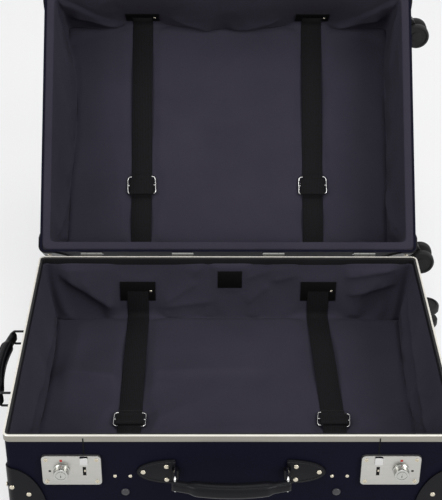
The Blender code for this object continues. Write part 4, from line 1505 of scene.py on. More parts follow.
    def kept_in(self, before: Array, after: Array, hold: Array, slack: Array) -> Array:
        """Settled points in the half, kept off the shell and near where they hung.

        Args:
            before: The points as they were cut.
            after: The points as they settled.
            hold: How firmly each is held.
            slack: The extra size of each, which is small on the floor.

        Returns:
            The points to use.
        """
        moved = after - before
        reach = np.linalg.norm(moved, axis=1, keepdims=True)
        moved *= np.minimum(1.0, self.size.settling / np.maximum(reach, 1e-9))
        kept = before + moved * (1.0 - hold)[:, None]
        free = hold < 0.5
        wall = self.half.lining_inset
        for axis, span in ((0, CASE.length), (1, CASE.width)):
            kept[free, axis] = np.clip(kept[free, axis], wall - span / 2, span / 2 - wall)
        lowest = np.where(slack < 0.5, before[:, 2] - 0.0004, self.half.floor_rise)
        kept[free, 2] = np.maximum(kept, lowest[:, None])[free, 2]
        return kept

    def _mark_crisp(self, mesh: Mesh, crisp: dict[int, float]) -> None:
        """Sets how crisp the edges between marked points stay when the lining is smoothed.

        Args:
            mesh: The lining.
            crisp: How crisp the fold is at marked points.
        """
        marks = mesh.attributes.new("crease_edge", "FLOAT", "EDGE")
        for edge in mesh.edges:
            first, second = edge.vertices
            if first in crisp and second in crisp:
                marks.data[edge.index].value = min(crisp[first], crisp[second])

    def _modified(self, mesh: Mesh, kind: str) -> Mesh:
        """The mesh after it is smoothed or given its thickness.

        Args:
            mesh: The mesh.
            kind: SUBSURF or SOLIDIFY.

        Returns:
            The new mesh.
        """
        helper = in_scene("lining", mesh)
        modifier = helper.modifiers.new("made", kind)
        if kind == "SUBSURF":
            modifier.levels = modifier.render_levels = 1
        else:
            modifier.thickness = self.size.sheet
            modifier.offset = -1.0
        made = evaluated(helper)
        bpy.data.objects.remove(helper)
        return made

    def build(self) -> None:
        """Makes the lining, lets it settle, folds it and gives it its thickness."""
        points, faces, hold, slack, crisp = self.sheet()
        mesh = bpy.data.meshes.new("lining_cut")
        mesh.from_pydata(self.to_world(points).tolist(), [], faces)
        points = self.kept_in(points, self.to_half(self.settle(mesh, hold, slack)), hold, slack)
        bpy.data.meshes.remove(mesh)
        mesh = bpy.data.meshes.new("lining_settled")
        mesh.from_pydata(self.to_world(points).tolist(), [], faces)
        into = self.half.to_rest().to_3x3() @ Vector((0.0, 0.0, float(self.half.upward)))
        if mesh.polygons[-1].normal.dot(into) < 0:
            mesh.flip_normals()
        self._mark_crisp(mesh, crisp)
        smoothed = self._modified(mesh, "SUBSURF")
        fine = np.empty(len(smoothed.vertices) * 3, dtype=np.float32)
        smoothed.vertices.foreach_get("co", fine)
        folded = self.to_world(self.folded(self.to_half(fine.reshape(-1, 3).astype(float))))
        smoothed.vertices.foreach_set("co", folded.astype(np.float32).ravel())
        smoothed.update()
        final = self._modified(smoothed, "SOLIDIFY")
        final.shade_smooth()
        name = f"{self.half.name}_lining"
        made = hand_over(f"loose_{name}", final, CLOTH, self.half.name, [name])
        if self.half is BASE:
            self.build_label()

    def build_label(self) -> None:
        """Makes the blank label on the back wall."""
        at_x, at_height, wide, tall = self.size.label
        face = CASE.width / 2 - self.half.lining_inset - self.size.slack
        low = (at_x - wide / 2, face - 0.0008, self.half.z(at_height - tall / 2))
        high = (at_x + wide / 2, face - 0.0001, self.half.z(at_height + tall / 2))
        piece("blank_label", block(low, high, 0.0002), PATCH, "base")


@dataclass
class Corners:
    """The leather corners, riveted over the shells."""

    fixings: Fixings
    reach: float = 0.046
    base_rivets: Sequence[Pair] = ((0.0056, 0.0412), (0.0249, 0.030))
    lid_rivets: Sequence[Pair] = ((0.012, 0.096), (0.030, 0.052), (0.036, 0.014))
    face_rivets: Sequence[Pair] = ((0.014, 0.034), (0.034, 0.014))

    def corner(self, half: Half, side_x: int, side_y: int) -> Shape:
        """One corner, trimmed to a round outline on three faces.

        Args:
            half: Which half.
            side_x: -1 at the left end, 1 at the right.
            side_y: -1 at the front, 1 at the back.

        Returns:
            The corner.
        """
        inner, deep = half.wall_inset - GAP, half.depth - GAP
        inside = shell_skin(half, inner, deep, 0.0)
        inside.append([point + Vector((0.0, 0.0, half.upward * GAP)) for point in inside[-1]])
        patch = bmesh.new()
        centre = Vector((side_x * CASE.length / 2, side_y * CASE.width / 2, half.z(0.0)))
        size = Matrix.Diagonal((self.reach, self.reach, half.corner_rise, 1.0))
        bmesh.ops.create_uvsphere(
            patch, u_segments=64, v_segments=40, radius=1.0, matrix=Matrix.Translation(centre) @ size
        )
        outside = shell_skin(half, inner - CASE.leather, deep, 0.0)
        made = cut(combine(patch, loft(outside), Boolean.INTERSECT), loft(inside))
        if side_x > 0:
            middle, step = caster_centre(half, side_y), Vector((0.003, 0.0, 0.0))
            made = cut(made, rod(middle - step, middle + 2 * step, CASE.caster_mount + GAP))
        return made

    def rivets(self, half: Half, side_x: int, side_y: int) -> list[Spot]:
        """The rivets of one corner, on its two walls and on the lid's outer face.

        Args:
            half: Which half.
            side_x: -1 at the left end, 1 at the right.
            side_y: -1 at the front, 1 at the back.

        Returns:
            The places, with the case shut.
        """
        out = GAP + CASE.leather - half.wall_inset
        half_l, half_w = CASE.length / 2, CASE.width / 2
        on_wall = self.base_rivets if half is BASE else self.lid_rivets
        on_end = on_wall if side_x < 0 else on_wall[:1]
        spots = []
        for inset, height in on_wall:
            at = Vector((side_x * (half_l - inset), side_y * (half_w + out), half.z(height)))
            spots.append(Spot(at, Vector((0.0, side_y, 0.0))))
        for inset, height in on_end:
            at = Vector((side_x * (half_l + out), side_y * (half_w - inset), half.z(height)))
            spots.append(Spot(at, Vector((side_x, 0.0, 0.0)), BACKWARD))
        face_z = half.z(-GAP - CASE.leather)
        for inset_x, inset_y in self.face_rivets if half is LID else ():
            at = Vector((side_x * (half_l - inset_x), side_y * (half_w - inset_y), face_z))
            spots.append(Spot(at, Vector((0.0, 0.0, 1.0))))
        return spots

    def build(self) -> None:
        """Makes the eight corners."""
        for half in (BASE, LID):
            for front_back, side_y in (("front", -1), ("back", 1)):
                for left_right, side_x in (("left", -1), ("right", 1)):
                    node = f"{half.name}_corner_{front_back}_{left_right}"
                    shape = self.corner(half, side_x, side_y)
                    piece(f"leather_{node}", shape, LEATHER, half.name, [node], half.to_rest())
                    rivets = self.rivets(half, side_x, side_y)
                    self.fixings.add(Fixing.RIVETS, half.name, rivets, half.to_rest())


@dataclass
class Hinges:
    """Four butt hinges along the back."""

    fixings: Fixings
    places: Sequence[float] = (-0.192, -0.064, 0.064, 0.192)
    width: float = 0.030
    height: float = 0.020
    sheet: float = 0.0014
    knuckle_end: float = 0.008
    pin_radius: float = 0.0014
    clearance: float = 0.0004
    screw: Pair = (0.009, 0.0125)

    def leaf(self, x: float, upward: bool) -> Shape:
        """A leaf: the base's has two end knuckles and the pin, the lid's has the middle knuckle.

        Args:
            x: The hinge's middle.
            upward: Whether it is the lid's.

        Returns:
            The leaf.
        """
        wall, axis = CASE.width / 2 + GAP, CASE.hinge_line
        clear = CASE.knuckle_radius + self.clearance
        sign = 1 if upward else -1
        tall = self.height - clear
        middle_z = axis.z + sign * (clear + tall / 2)
        steps = ((0.0, 0.0), (0.0, self.sheet - 0.0004), (0.0004, self.sheet))
        plate = wall_plate((self.width, tall), 0.003, steps, 6)
        plate.transform(Matrix.Translation((x, wall, middle_z)))
        middle = self.width / 2 - self.knuckle_end
        spans = [(-middle + self.clearance, middle - self.clearance)]
        if not upward:
            spans = [(-self.width / 2, -middle), (middle, self.width / 2)]
        parts = [plate]
        for start, end in spans:
            far = axis.z + sign * (clear + 0.003)
            low, high = sorted((axis.z, far))
            parts.append(block(
                (x + start + GAP, wall + GAP, low), (x + end - GAP, wall + self.sheet - GAP, high),
            ))
            barrel = rod((x + start, axis.y, axis.z), (x + end, axis.y, axis.z), CASE.knuckle_radius)
            if upward:
                ends = (x - self.width, axis.y, axis.z), (x + self.width, axis.y, axis.z)
                barrel = cut(barrel, rod(*ends, self.pin_radius + self.clearance, 20))
            parts.append(barrel)
        if not upward:
            reach = self.width / 2 - GAP
            parts.append(rod((x - reach, axis.y, axis.z), (x + reach, axis.y, axis.z), self.pin_radius, 20))
        return merge(*parts)

    def build(self) -> None:
        """Makes the hinges."""
        y = CASE.width / 2 + GAP + self.sheet
        for number, x in enumerate(self.places, start=1):
            for half, sign in ((BASE, -1), (LID, 1)):
                node = f"hinge_{number}_{half.name}_leaf"
                # The hinge leaves take the darkened nickel: painted shade on bright metal.
                piece(f"steel_{node}", self.leaf(x, sign > 0), NICKEL, half.name, [node], half.to_rest())
                aside, rise = self.screw
                z = CASE.hinge_line.z + sign * rise
                spots = [Spot(Vector((x + offset, y, z)), BACKWARD) for offset in (-aside, aside)]
                self.fixings.add(Fixing.SCREWS, half.name, spots, half.to_rest())


@dataclass
class Locks:
    """Two turn locks on the base and the hasps on the lid."""

    fixings: Fixings
    place: float = 0.187
    drop: float = 0.051
    width: float = 0.070
    height: float = 0.044
    thickness: float = 0.004
    corner: float = 0.005
    bevel: float = 0.001
    knob_offset: float = 0.0118
    knob_lift: float = 0.0015
    knob_radius: float = 0.0098
    knob_length: float = 0.0102
    window_offset: float = 0.015
    window_lift: float = -0.0005
    window: Triple = (0.004, 0.013, 0.0022)
    catch: Triple = (0.010, 0.011, 0.0035)
    mark_offset: float = 0.0138
    screw_inset: float = 0.0055
    hasp: Triple = (0.016, 0.024, 0.002)
    tongue: float = 0.009

    def plate(self, window_x: float) -> tuple[Shape, float]:
        """A lock's cover plate, drawn about its middle, and where its face is.

        Args:
            window_x: The window's middle.

        Returns:
            The plate and the y of its face.
        """
        wall = FRONT_Y - GAP
        front = wall - self.thickness
        bevel, lift = self.bevel, self.window_lift
        steps = ((0.0, wall), (0.0, front + bevel), (0.0003, front + bevel * 0.3), (bevel, front))
        made = wall_plate((self.width, self.height), self.corner, steps)
        wide, tall, deep = self.window
        hole = self.bar(window_x, wide, (front - deep, front + deep), (lift - tall / 2, lift + tall / 2))
        return cut(made, hole), front

    def knob(self) -> Shape:
        """The round knob with its pointer rib and its keyway, standing along z.

        Returns:
            The knob.
        """
        rim, face, length = self.knob_radius, self.knob_radius * 0.90, self.knob_length
        body = lathe([
            (rim * 0.96, 0.0), (rim, 0.0004), (rim, length * 0.22), (rim * 0.93, length * 0.28),
            (rim * 0.90, length * 0.5), (face, length * 0.75), (face, length * 0.93),
            (face * 0.97, length * 0.98), (face * 0.92, length), (face * 0.72, length),
            (face * 0.70, length * 0.95), (face * 0.64, length * 0.95), (face * 0.62, length),
        ])
        body = cut(body, block((-0.0006, -0.003, length - 0.0016), (0.0006, 0.003, length + 0.001)))
        rib = block((-0.0012, rim * 0.55, length * 0.15), (0.0012, rim * 0.97, length * 0.66), 0.0004)
        return merge(body, rib)

    def bar(
        self, x: float, wide: float, y: Pair, z: Pair, bevel: float = 0.0
    ) -> Shape:
        """A small block about a place along the front, between two depths and two heights."""
        return block((x - wide / 2, y[0], z[0]), (x + wide / 2, y[1], z[1]), bevel)

    def details(self, side: int, window_x: float, front: float) -> Iterator[tuple[str, Finish, Shape]]:
        """The small parts of one lock, drawn about its plate's middle.

        Args:
            side: -1 for the left lock and 1 for the right one.
            window_x: The middle of the plate's window.
            front: Where the plate's face is.

        Yields:
            The name, finish and shape of each part.
        """
        wide, tall, proud = self.catch
        top, painted = self.height / 2, (front - 0.0002, front + 0.001)
        catch = self.bar(window_x, wide, (front - proud, front + 0.002), (top - tall, top - GAP), 0.0012)
        yield "catch", CHROME, catch
        # The slot is a dark block at the bottom of the window's recess: painted shade.
        wide, tall, _ = (size - 0.0002 for size in self.window)
        low = self.window_lift - tall / 2
        yield "slot", PAINTED_SHADE_AND_PRINT, self.bar(window_x, wide, (front + 0.0009, front + 0.0021), (low, low + tall))
        slide_y, slide_z = (front + 0.0004, front + 0.0020), (-0.002, 0.0012)
        yield "slide", RIVET, self.bar(window_x + 0.0006, 0.002, slide_y, slide_z, 0.0002)
        # A thin dark strip laid on the rim band and the shell above the catch, not cut in: a painted shadow
        # line.
        rim_y, rim_low = -CASE.width / 2, self.drop - Shells.rim_band
        yield "groove", PAINTED_SHADE_AND_PRINT, merge(
            self.bar(window_x, 0.0016, (rim_y - 0.0002, rim_y + 0.0006), (rim_low, rim_low + 0.005)),
            self.bar(window_x, 0.0016, (FRONT_Y - 0.0002, FRONT_Y + 0.001), (top, rim_low)),
        )
        knob_x = side * self.knob_offset
        yield "mark", RED, self.bar(knob_x, 0.003, painted, (0.0140, 0.0170))
        knob_x += side * self.mark_offset
        yield "open_mark", PAINTED_SHADE_AND_PRINT, self.bar(knob_x, 0.0028, painted, (-0.0015, 0.0008))

    def build(self) -> None:
        """Makes the locks, their marks and the hasps."""
        mid_z = CASE.rim_z - self.drop
        for name, side in (("left", -1), ("right", 1)):
            at = Matrix.Translation((side * self.place, 0.0, mid_z))
            window_x = -side * self.window_offset
            plate, front = self.plate(window_x)
            piece(f"steel_lock_plate_{name}", plate, SATIN, "base", [f"lock_plate_{name}"], at)
            for part, finish, shape in self.details(side, window_x, front):
                piece(f"lock_{part}_{name}", shape, finish, "base", (), at)
            knob = f"lock_knob_{name}"
            out = at @ Matrix.Translation((side * self.knob_offset, front - GAP, self.knob_lift))
            out = out @ Matrix.Rotation(math.radians(90), 4, "X")
            piece(f"steel_{knob}", self.knob(), NICKEL_BRIGHT, knob, [knob], out)
            reach, rise = self.width / 2 - self.screw_inset, self.height / 2 - self.screw_inset
            places = [Vector((x, front, z)) for x in (-reach, reach) for z in (-rise, rise)]
            self.fixings.add(Fixing.SCREWS, "base", [Spot(place, FRONTWARD) for place in places], at)
            self.build_hasp(name, side * (self.place - self.window_offset), mid_z + self.height / 2 + 0.0015)

    def build_hasp(self, name: str, x: float, tip: float) -> None:
        """Makes one hasp on the lid's front wall, with its tongue down to the tip.

        Args:
            name: Left or right.
            x: Its middle.
            tip: The tongue's lowest height.
        """
        wide, tall, sheet = self.hasp
        wall, edge = -CASE.width / 2 - GAP, CASE.rim_z + CASE.seam
        steps = ((0.0, wall), (0.0, wall - sheet + 0.0005), (0.0005, wall - sheet))
        plate = wall_plate((wide, tall), wide / 4, steps)
        plate.transform(Matrix.Translation((x, 0.0, edge + tall / 2)))
        depths = wall - sheet * 0.9, wall - sheet * 0.05
        tongue = self.bar(x, self.tongue, depths, (tip, edge + tall / 2), 0.0003)
        node = f"lid_hasp_{name}"
        piece(f"steel_{node}", merge(plate, tongue), CHROME, "lid", [node], LID.to_rest())
        spots = [Spot(Vector((x + dx, wall - sheet, edge + 0.0175)), FRONTWARD) for dx in (-0.004, 0.004)]
        self.fixings.add(Fixing.SMALL_RIVETS, "lid", spots, LID.to_rest())


@dataclass
class Handles:
    """The two leather handles on rings, at the front and at the end."""

    fixings: Fixings
    spacing: float = 0.131
    reach: float = 0.021
    front_drop: float = 0.0545
    end_drop: float = 0.0485
    ring_height: float = 0.020
    wire: float = 0.0016
    bend: float = 0.0036
    clearance: float = 0.0004
    tab: Triple = (0.044, 0.036, 0.0025)
    tab_rivets: Sequence[Pair] = ((0.1035, 0.0), (0.076, 0.0085), (0.076, -0.0115))
    loop_leather: float = 0.0024
    loop_height: float = 0.0135
    grip: Pair = (0.016, 0.018)
    neck: Pair = (0.0105, 0.0135)
    bow: float = 0.009
    groove: Pair = (0.0011, 0.0009)
    stitch_inset: float = 0.0028
    studs: Sequence[Pair] = ((0.119, -0.0085), (0.137, -0.0085))
    dome: Pair = (0.1255, -0.033)

    def __post_init__(self) -> None:
        """Works out where a ring's inner wire lies and how wide its bore is."""
        self.inner = GAP + self.loop_leather + self.clearance + self.wire
        self.bore = self.wire + self.clearance

    def tab_outline(self, inward: float) -> Loop:
        """The outline of a tab at an inset, on the wall.

        Args:
            inward: The inset.

        Returns:
            The points.
        """
        length, height, _ = self.tab
        x = self.spacing / 2
        points = [Vector((x + inward, inward - height / 2))]
        for step in range(25):
            angle = math.radians(-90 + 180 * step / 24)
            points.append(Vector((
                x + self.wire + (length - inward) * math.cos(angle), (height / 2 - inward) * math.sin(angle),
            )))
        points.append(Vector((x + inward, height / 2 - inward)))
        return points

    def tab_shape(self) -> Shape:
        """A half-round tab on the wall y 0, folded round its ring.

        Returns:
            The right-hand tab.
        """
        x, thick = self.spacing / 2, self.tab[2]
        made = loft([
            upright(self.tab_outline(inward), -GAP - out)
            for inward, out in ((0.0, 0.0), (0.0, thick - 0.0008), (0.0004, thick - 0.0002), (0.0011, thick))
        ])
        radius = self.loop_leather + self.bore
        tall = self.loop_height / 2
        made = combine(made, rod((x, -self.inner, -tall), (x, -self.inner, tall), radius), Boolean.UNION)
        return cut(made, rod((x, -self.inner, -0.03), (x, -self.inner, 0.03), self.bore))

    def ring_shape(self, side: int) -> Shape:
        """A wire ring that stands out from the wall.

        Args:
            side: -1 for the left one, 1 for the right.

        Returns:
            The ring.
        """
        x = side * self.spacing / 2
        outline = rounded_outline(self.reach, self.ring_height, self.bend, 8)
        points = [Vector((x, -self.inner - self.reach / 2 - p.x, p.y)) for p in outline]
        return tube(points, self.wire, True, 16)

    def grip_shape(self) -> Shape:
        """The bowed grip with two grooves along it, looped round the rings' outer wires.

        Returns:
            The grip.
        """
        wire_y = -(self.inner + self.reach)
        half_span, neck = self.spacing / 2, self.reach * 0.7
        end = self.loop_leather + self.bore
        xs = [-half_span - end * math.cos(a) for a in np.linspace(0.12, math.pi / 2, 6)]
        xs += list(np.linspace(-half_span, 0.0, 22))[1:]
        xs = [float(x) for x in xs]
        xs += [-x for x in reversed(xs[:-1])]
        loops = []
        for x in xs:
            share = min(max((half_span - abs(x) - neck) / (neck * 0.6), 0.0), 1.0)
            share = share * share * (3 - 2 * share)
            past = max(abs(x) - half_span, 0.0) / end
            size = math.sqrt(max(1 - past * past, 0.04))
            deep = (self.neck[0] + (self.grip[0] - self.neck[0]) * share) * size
            tall = self.neck[1] + (self.grip[1] - self.neck[1]) * share
            bow = self.bow * max(1 - (x / half_span) ** 2, 0.0)
            loop = []
            for point in rounded_outline(deep, tall, min(deep, tall) * 0.42, 8):
                lines = (-deep * 0.24, deep * 0.24)
                depth = sum(math.exp(-(((point.x - at) / self.groove[0]) ** 2)) for at in lines)
                sunk = self.groove[1] * depth * share if abs(point.y) > tall * 0.3 else 0.0
                loop.append(Vector((x, wire_y - bow + point.x, point.y - math.copysign(sunk, point.y))))
            loops.append(loop)
        made = loft(loops)
        for side in (-1, 1):
            x = side * half_span
            made = cut(made, rod((x, wire_y, -0.02), (x, wire_y, 0.02), self.bore))
        return made

    def build(self) -> None:
        """Makes both handles."""
        front = Matrix.Translation((0.0, FRONT_Y, CASE.rim_z - self.front_drop))
        end = Matrix.Translation((END_X, 0.0, CASE.rim_z - self.end_drop))
        end = end @ Matrix.Rotation(math.radians(-90), 4, "Z")
        sets = (("front_handle", front, ("left", "right")), ("end_handle", end, ("back", "front")))
        for stem, matrix, names in sets:
            for name, side in zip(names, (-1, 1)):
                mirror = matrix @ Matrix.Scale(side, 4, (1.0, 0.0, 0.0))
                node = f"{stem}_tab_{name}"
                piece(f"leather_{node}", self.tab_shape(), LEATHER, "base", [node], mirror)
                node = f"{stem}_ring_{name}"
                # The end rings get the darkened wire: painted shade in place of their dark reflections.
                wire = CHROME if stem == "front_handle" else DARKENED_WIRE
                piece(f"wire_{node}", self.ring_shape(side), wire, node, [node], matrix)
                self.dress(side, matrix, stem == "front_handle")
            node = f"{stem}_grip"
            piece(f"leather_{node}", self.grip_shape(), LEATHER, node, [node], matrix)

    def dress(self, side: int, matrix: Matrix, at_front: bool) -> None:
        """Rivets and stitches one tab, and sets the small studs beside the front ones.

        Args:
            side: -1 for the left one, 1 for the right.
            matrix: The handle's place.
            at_front: Whether it is the front handle.
        """
        y = -GAP - self.tab[2]
        rivets = [Spot(Vector((side * x, y, z)), FRONTWARD) for x, z in self.tab_rivets]
        self.fixings.add(Fixing.RIVETS, "base", rivets, matrix)
        outline = self.tab_outline(self.stitch_inset)[1:-1]
        line = [Spot(Vector((side * p.x, y, p.y)), FRONTWARD) for p in outline]
        self.fixings.stitch("base", line, matrix)
        if at_front:
            for kind, places in ((Fixing.SMALL_RIVETS, self.studs), (Fixing.DOMES, (self.dome,))):
                spots = [Spot(Vector((side * x, 0.0, z)), FRONTWARD) for x, z in places]
                self.fixings.add(kind, "base", spots, matrix)


@dataclass
class Trolley:
    """The pull-out handle and its guide."""

    rod_radius: float = 0.005
    rod_end: float = 0.1682
    guide_end: float = 0.1962
    clearance: float = 0.0004
    tube_sheet: float = 0.0014
    plate: Triple = (0.150, 0.021, 0.003)
    grip: Triple = (0.140, 0.022, 0.012)
    finger_gap: float = 0.009

    def build(self) -> None:
        """Makes the guide, the grip and the rods."""
        z = Shells.trolley_z
        wall = END_X - GAP
        long, tall, sheet = self.plate
        plate = wall_plate((long, tall), tall / 3, ((0.0, 0.0), (0.0, sheet - 0.0008), (0.0008, sheet)))
        plate.transform(Matrix.Translation((wall, 0.0, z)) @ Matrix.Rotation(math.radians(90), 4, "Z"))
        parts = []
        places = [side * Shells.trolley_spacing / 2 for side in (-1, 1)]
        for y in places:
            hole = self.rod_radius + self.clearance
            ends = ((wall - 0.02, y, z), (self.guide_end + 0.02, y, z))
            plate = cut(plate, rod(*ends, hole))
            outside = rod((wall - sheet / 2, y, z), (self.guide_end, y, z), hole + self.tube_sheet)
            parts.append(cut(outside, rod(*ends, hole)))
        piece("trolley_guides", merge(plate, *parts), MOULDING, "base", ["trolley_guide"])
        near = wall - sheet - self.finger_gap
        long, tall, deep = self.grip
        loops = []
        for y in np.linspace(-1, 1, 41).tolist():
            past = max(abs(y) * long / 2 - (long / 2 - tall * 0.4), 0.0) / (tall * 0.4)
            size = 0.5 + 0.5 * math.sqrt(max(1 - past * past, 0.0))
            outline = rounded_outline(deep * size, tall * size, deep * size * 0.45, 6)
            loops.append([Vector((near - deep / 2 + p.x, y * long / 2, z + p.y)) for p in outline])
        piece("trolley_grip", loft(loops), MOULDING, "trolley_handle", ["trolley_handle"])
        rods = [rod((near - deep / 2, y, z), (self.rod_end, y, z), self.rod_radius) for y in places]
        piece("trolley_rods", merge(*rods), ROD_METAL, "trolley_handle")


@dataclass
class Straps:
    """The packing straps, with their patches and slide buckles."""

    fixings: Fixings
    width: float = 0.030
    sheet: float = 0.0016
    patch: Triple = (0.050, 0.032, 0.0012)
    buckle: Triple = (0.043, 0.028, 0.002)
    rim: float = 0.0045
    crest: float = 0.0135
    foot: float = 0.0205
    stand_off: float = 0.0032
    roll: float = 0.0023
    roll_profile: Sequence[Pair] = (
        (0.7, -1.0), (0.95, -0.985), (1.0, -0.95), (1.04, 0.0), (1.0, 0.95), (0.95, 0.985), (0.7, 1.0),
    )
    layer_profile: Sequence[Pair] = (
        (-0.0080, 0.0003), (-0.0070, 0.0008), (0.0, 0.0010), (0.0080, 0.0018), (0.0120, 0.0026),
    )

    def path(self, half: Half) -> list[Pair]:
        """The strap's middle line as (y, height): down one wall, over the buckle and up the other.

        Args:
            half: Which half.

        Returns:
            The points.
        """
        size = LiningSizes()
        lift = GAP + self.sheet / 2
        wall = half.lining_inset + size.slack
        line = [(wall + lift, half.depth - half.patch_drop)]
        for angle in np.radians(np.linspace(0, 90, 8)).tolist():
            inset = wall + size.draw_in * (1 - math.cos(angle)) + lift * math.cos(angle)
            height = half.floor_rise + size.draw_up * (1 - math.sin(angle)) + lift * math.sin(angle)
            line.append((inset, height))
        low = half.floor_rise + lift
        hump = []
        for at in np.linspace(-1, 1, 25).tolist():
            share = min(max((self.foot - abs(at) * self.foot) / (self.foot - self.crest), 0.0), 1.0)
            hump.append((half.buckle_y + at * self.foot, low + self.rise() * share * share * (3 - 2 * share)))
        front = [(inset - CASE.width / 2, height) for inset, height in line]
        back = [(CASE.width / 2 - inset, height) for inset, height in reversed(line)]
        return front + self.span(front[-1], hump[0]) + hump + self.span(hump[-1], back[0]) + back

    def span(self, start: Pair, end: Pair) -> list[Pair]:
        """Points between two places on the floor, where the strap stands a little off the lining.

        Args:
            start: The first place.
            end: The last place.

        Returns:
            The points, without those two.
        """
        off = min(self.stand_off, 0.04 * (end[0] - start[0]))
        return [
            (start[0] + (end[0] - start[0]) * share, start[1] + off * math.sin(math.pi * share) ** 2)
            for share in np.linspace(0, 1, 12)[1:-1].tolist()
        ]

    def rise(self) -> float:
        """How high the strap lifts to pass over the buckle."""
        return self.sheet + self.buckle[2] + GAP

    def ribbon(
        self, half: Half, side: int, path: Sequence[Pair], width: float, sheet: float
    ) -> Shape:
        """A flat ribbon along a path of (y, height), with soft edges.

        Args:
            half: Which half.
            side: -1 for the left one, 1 for the right.
            path: Its middle line.
            width: Its width.
            sheet: Its thickness.

        Returns:
            The ribbon.
        """
        soft = sheet * 0.35
        edge = [(width / 2, soft - sheet / 2), (width / 2, sheet / 2 - soft), (width / 2 - soft, sheet / 2)]
        edge += [(-w, t) for w, t in reversed(edge)]
        edge += [(soft - width / 2, -sheet / 2), (width / 2 - soft, -sheet / 2)]
        line = [Vector((y, half.z(height))) for y, height in path]
        loops = []
        for index, point in enumerate(line):
            along = line[min(index + 1, len(line) - 1)] - line[max(index - 1, 0)]
            normal = Vector((-along.y, along.x)).normalized() * half.upward
            middle = float(strap_x(half, side, point.x))
            loops.append([Vector((middle + w, *(point + normal * t))) for w, t in edge])
        return loft(loops)

    def build(self) -> None:
        """Makes the four straps."""
        for half in (BASE, LID):
            for name, side in (("left", -1), ("right", 1)):
                self.build_strap(half, name, side)
                self.build_buckle(half, name, side)

    def build_strap(self, half: Half, name: str, side: int) -> None:
        """Makes one strap and the patches that hold its ends.

        Args:
            half: Which half.
            name: Left or right.
            side: -1 for the left one, 1 for the right.
        """
        rest = half.to_rest()
        path = self.path(half)
        node = f"{half.name}_strap_{name}"
        strap = self.ribbon(half, side, path, self.width, self.sheet)
        made = piece(f"webbing_{node}", strap, WEBBING, half.name, [node], rest, 50)
        long = sum(math.dist(a, b) for a, b in zip(path, path[1:]))
        wide, tall, thick = self.patch
        for where, (y, height), inward in (("front", path[0], 1), ("back", path[-1], -1)):
            face = y - inward * self.sheet / 2
            low, high = sorted((face, face + inward * thick))
            x, z = float(strap_x(half, side, y)), half.z(height)
            patch = block((x - wide / 2, low, z - tall / 2), (x + wide / 2, high, z + tall / 2), 0.0004)
            piece(f"{half.name}_patch_{name}_{where}", patch, PATCH, half.name, (), rest)
            at = Vector((x + wide * 0.37, face + inward * thick, z))
            self.fixings.add(Fixing.SMALL_RIVETS, half.name, [Spot(at, inward * BACKWARD)], rest)

    def build_buckle(self, half: Half, name: str, side: int) -> None:
        """Makes one wire buckle under its strap, and the webbing that is rolled round its lower bar.

        Args:
            half: Which half.
            name: Left or right.
            side: -1 for the left one, 1 for the right.
        """
        rest = half.to_rest()
        below = -half.upward
        x = float(strap_x(half, side, half.buckle_y))
        low = half.floor_rise + GAP + self.sheet
        wide, long, thick = self.buckle
        z = half.z(low + GAP / 2 + thick / 2)
        outline = rounded_outline(wide - thick, long - thick, self.rim, 6)
        ring = tube([Vector((p.x, p.y, 0.0)) for p in outline], thick / 2, True, 12)
        bar = rod((0.001 - wide / 2, 0.0, 0.0), (wide / 2 - 0.001, 0.0, 0.0), thick / 2 - 0.0001, 12)
        tilt = math.radians(5.0 if half is BASE and side > 0 else 1.5)
        at = Matrix.Translation((x, half.buckle_y, z)) @ Matrix.Rotation(-tilt, 4, "Z")
        node = f"{half.name}_buckle_{name}"
        piece(f"wire_{node}", merge(ring, bar), CHROME, half.name, [node], rest @ at)
        top = low + self.rise()
        roll_y = half.buckle_y + below * 0.0125
        half_width = self.width / 2 + 0.0032
        centre = half.z(top + self.roll * 0.55)
        roll = lathe([(self.roll * size, at_x * half_width) for size, at_x in self.roll_profile], 24)
        roll.transform(Matrix.Translation((x, roll_y, centre)) @ Matrix.Rotation(math.radians(90), 4, "Y"))
        over = [(half.buckle_y + below * v, top + up) for v, up in self.layer_profile]
        if below < 0:
            over.reverse()
        layer = self.ribbon(half, side, over, self.width + 0.0058, 0.0014)
        piece(f"rolled_{half.name}_webbing_{name}", merge(roll, layer), WEBBING, half.name, (), rest, 50)


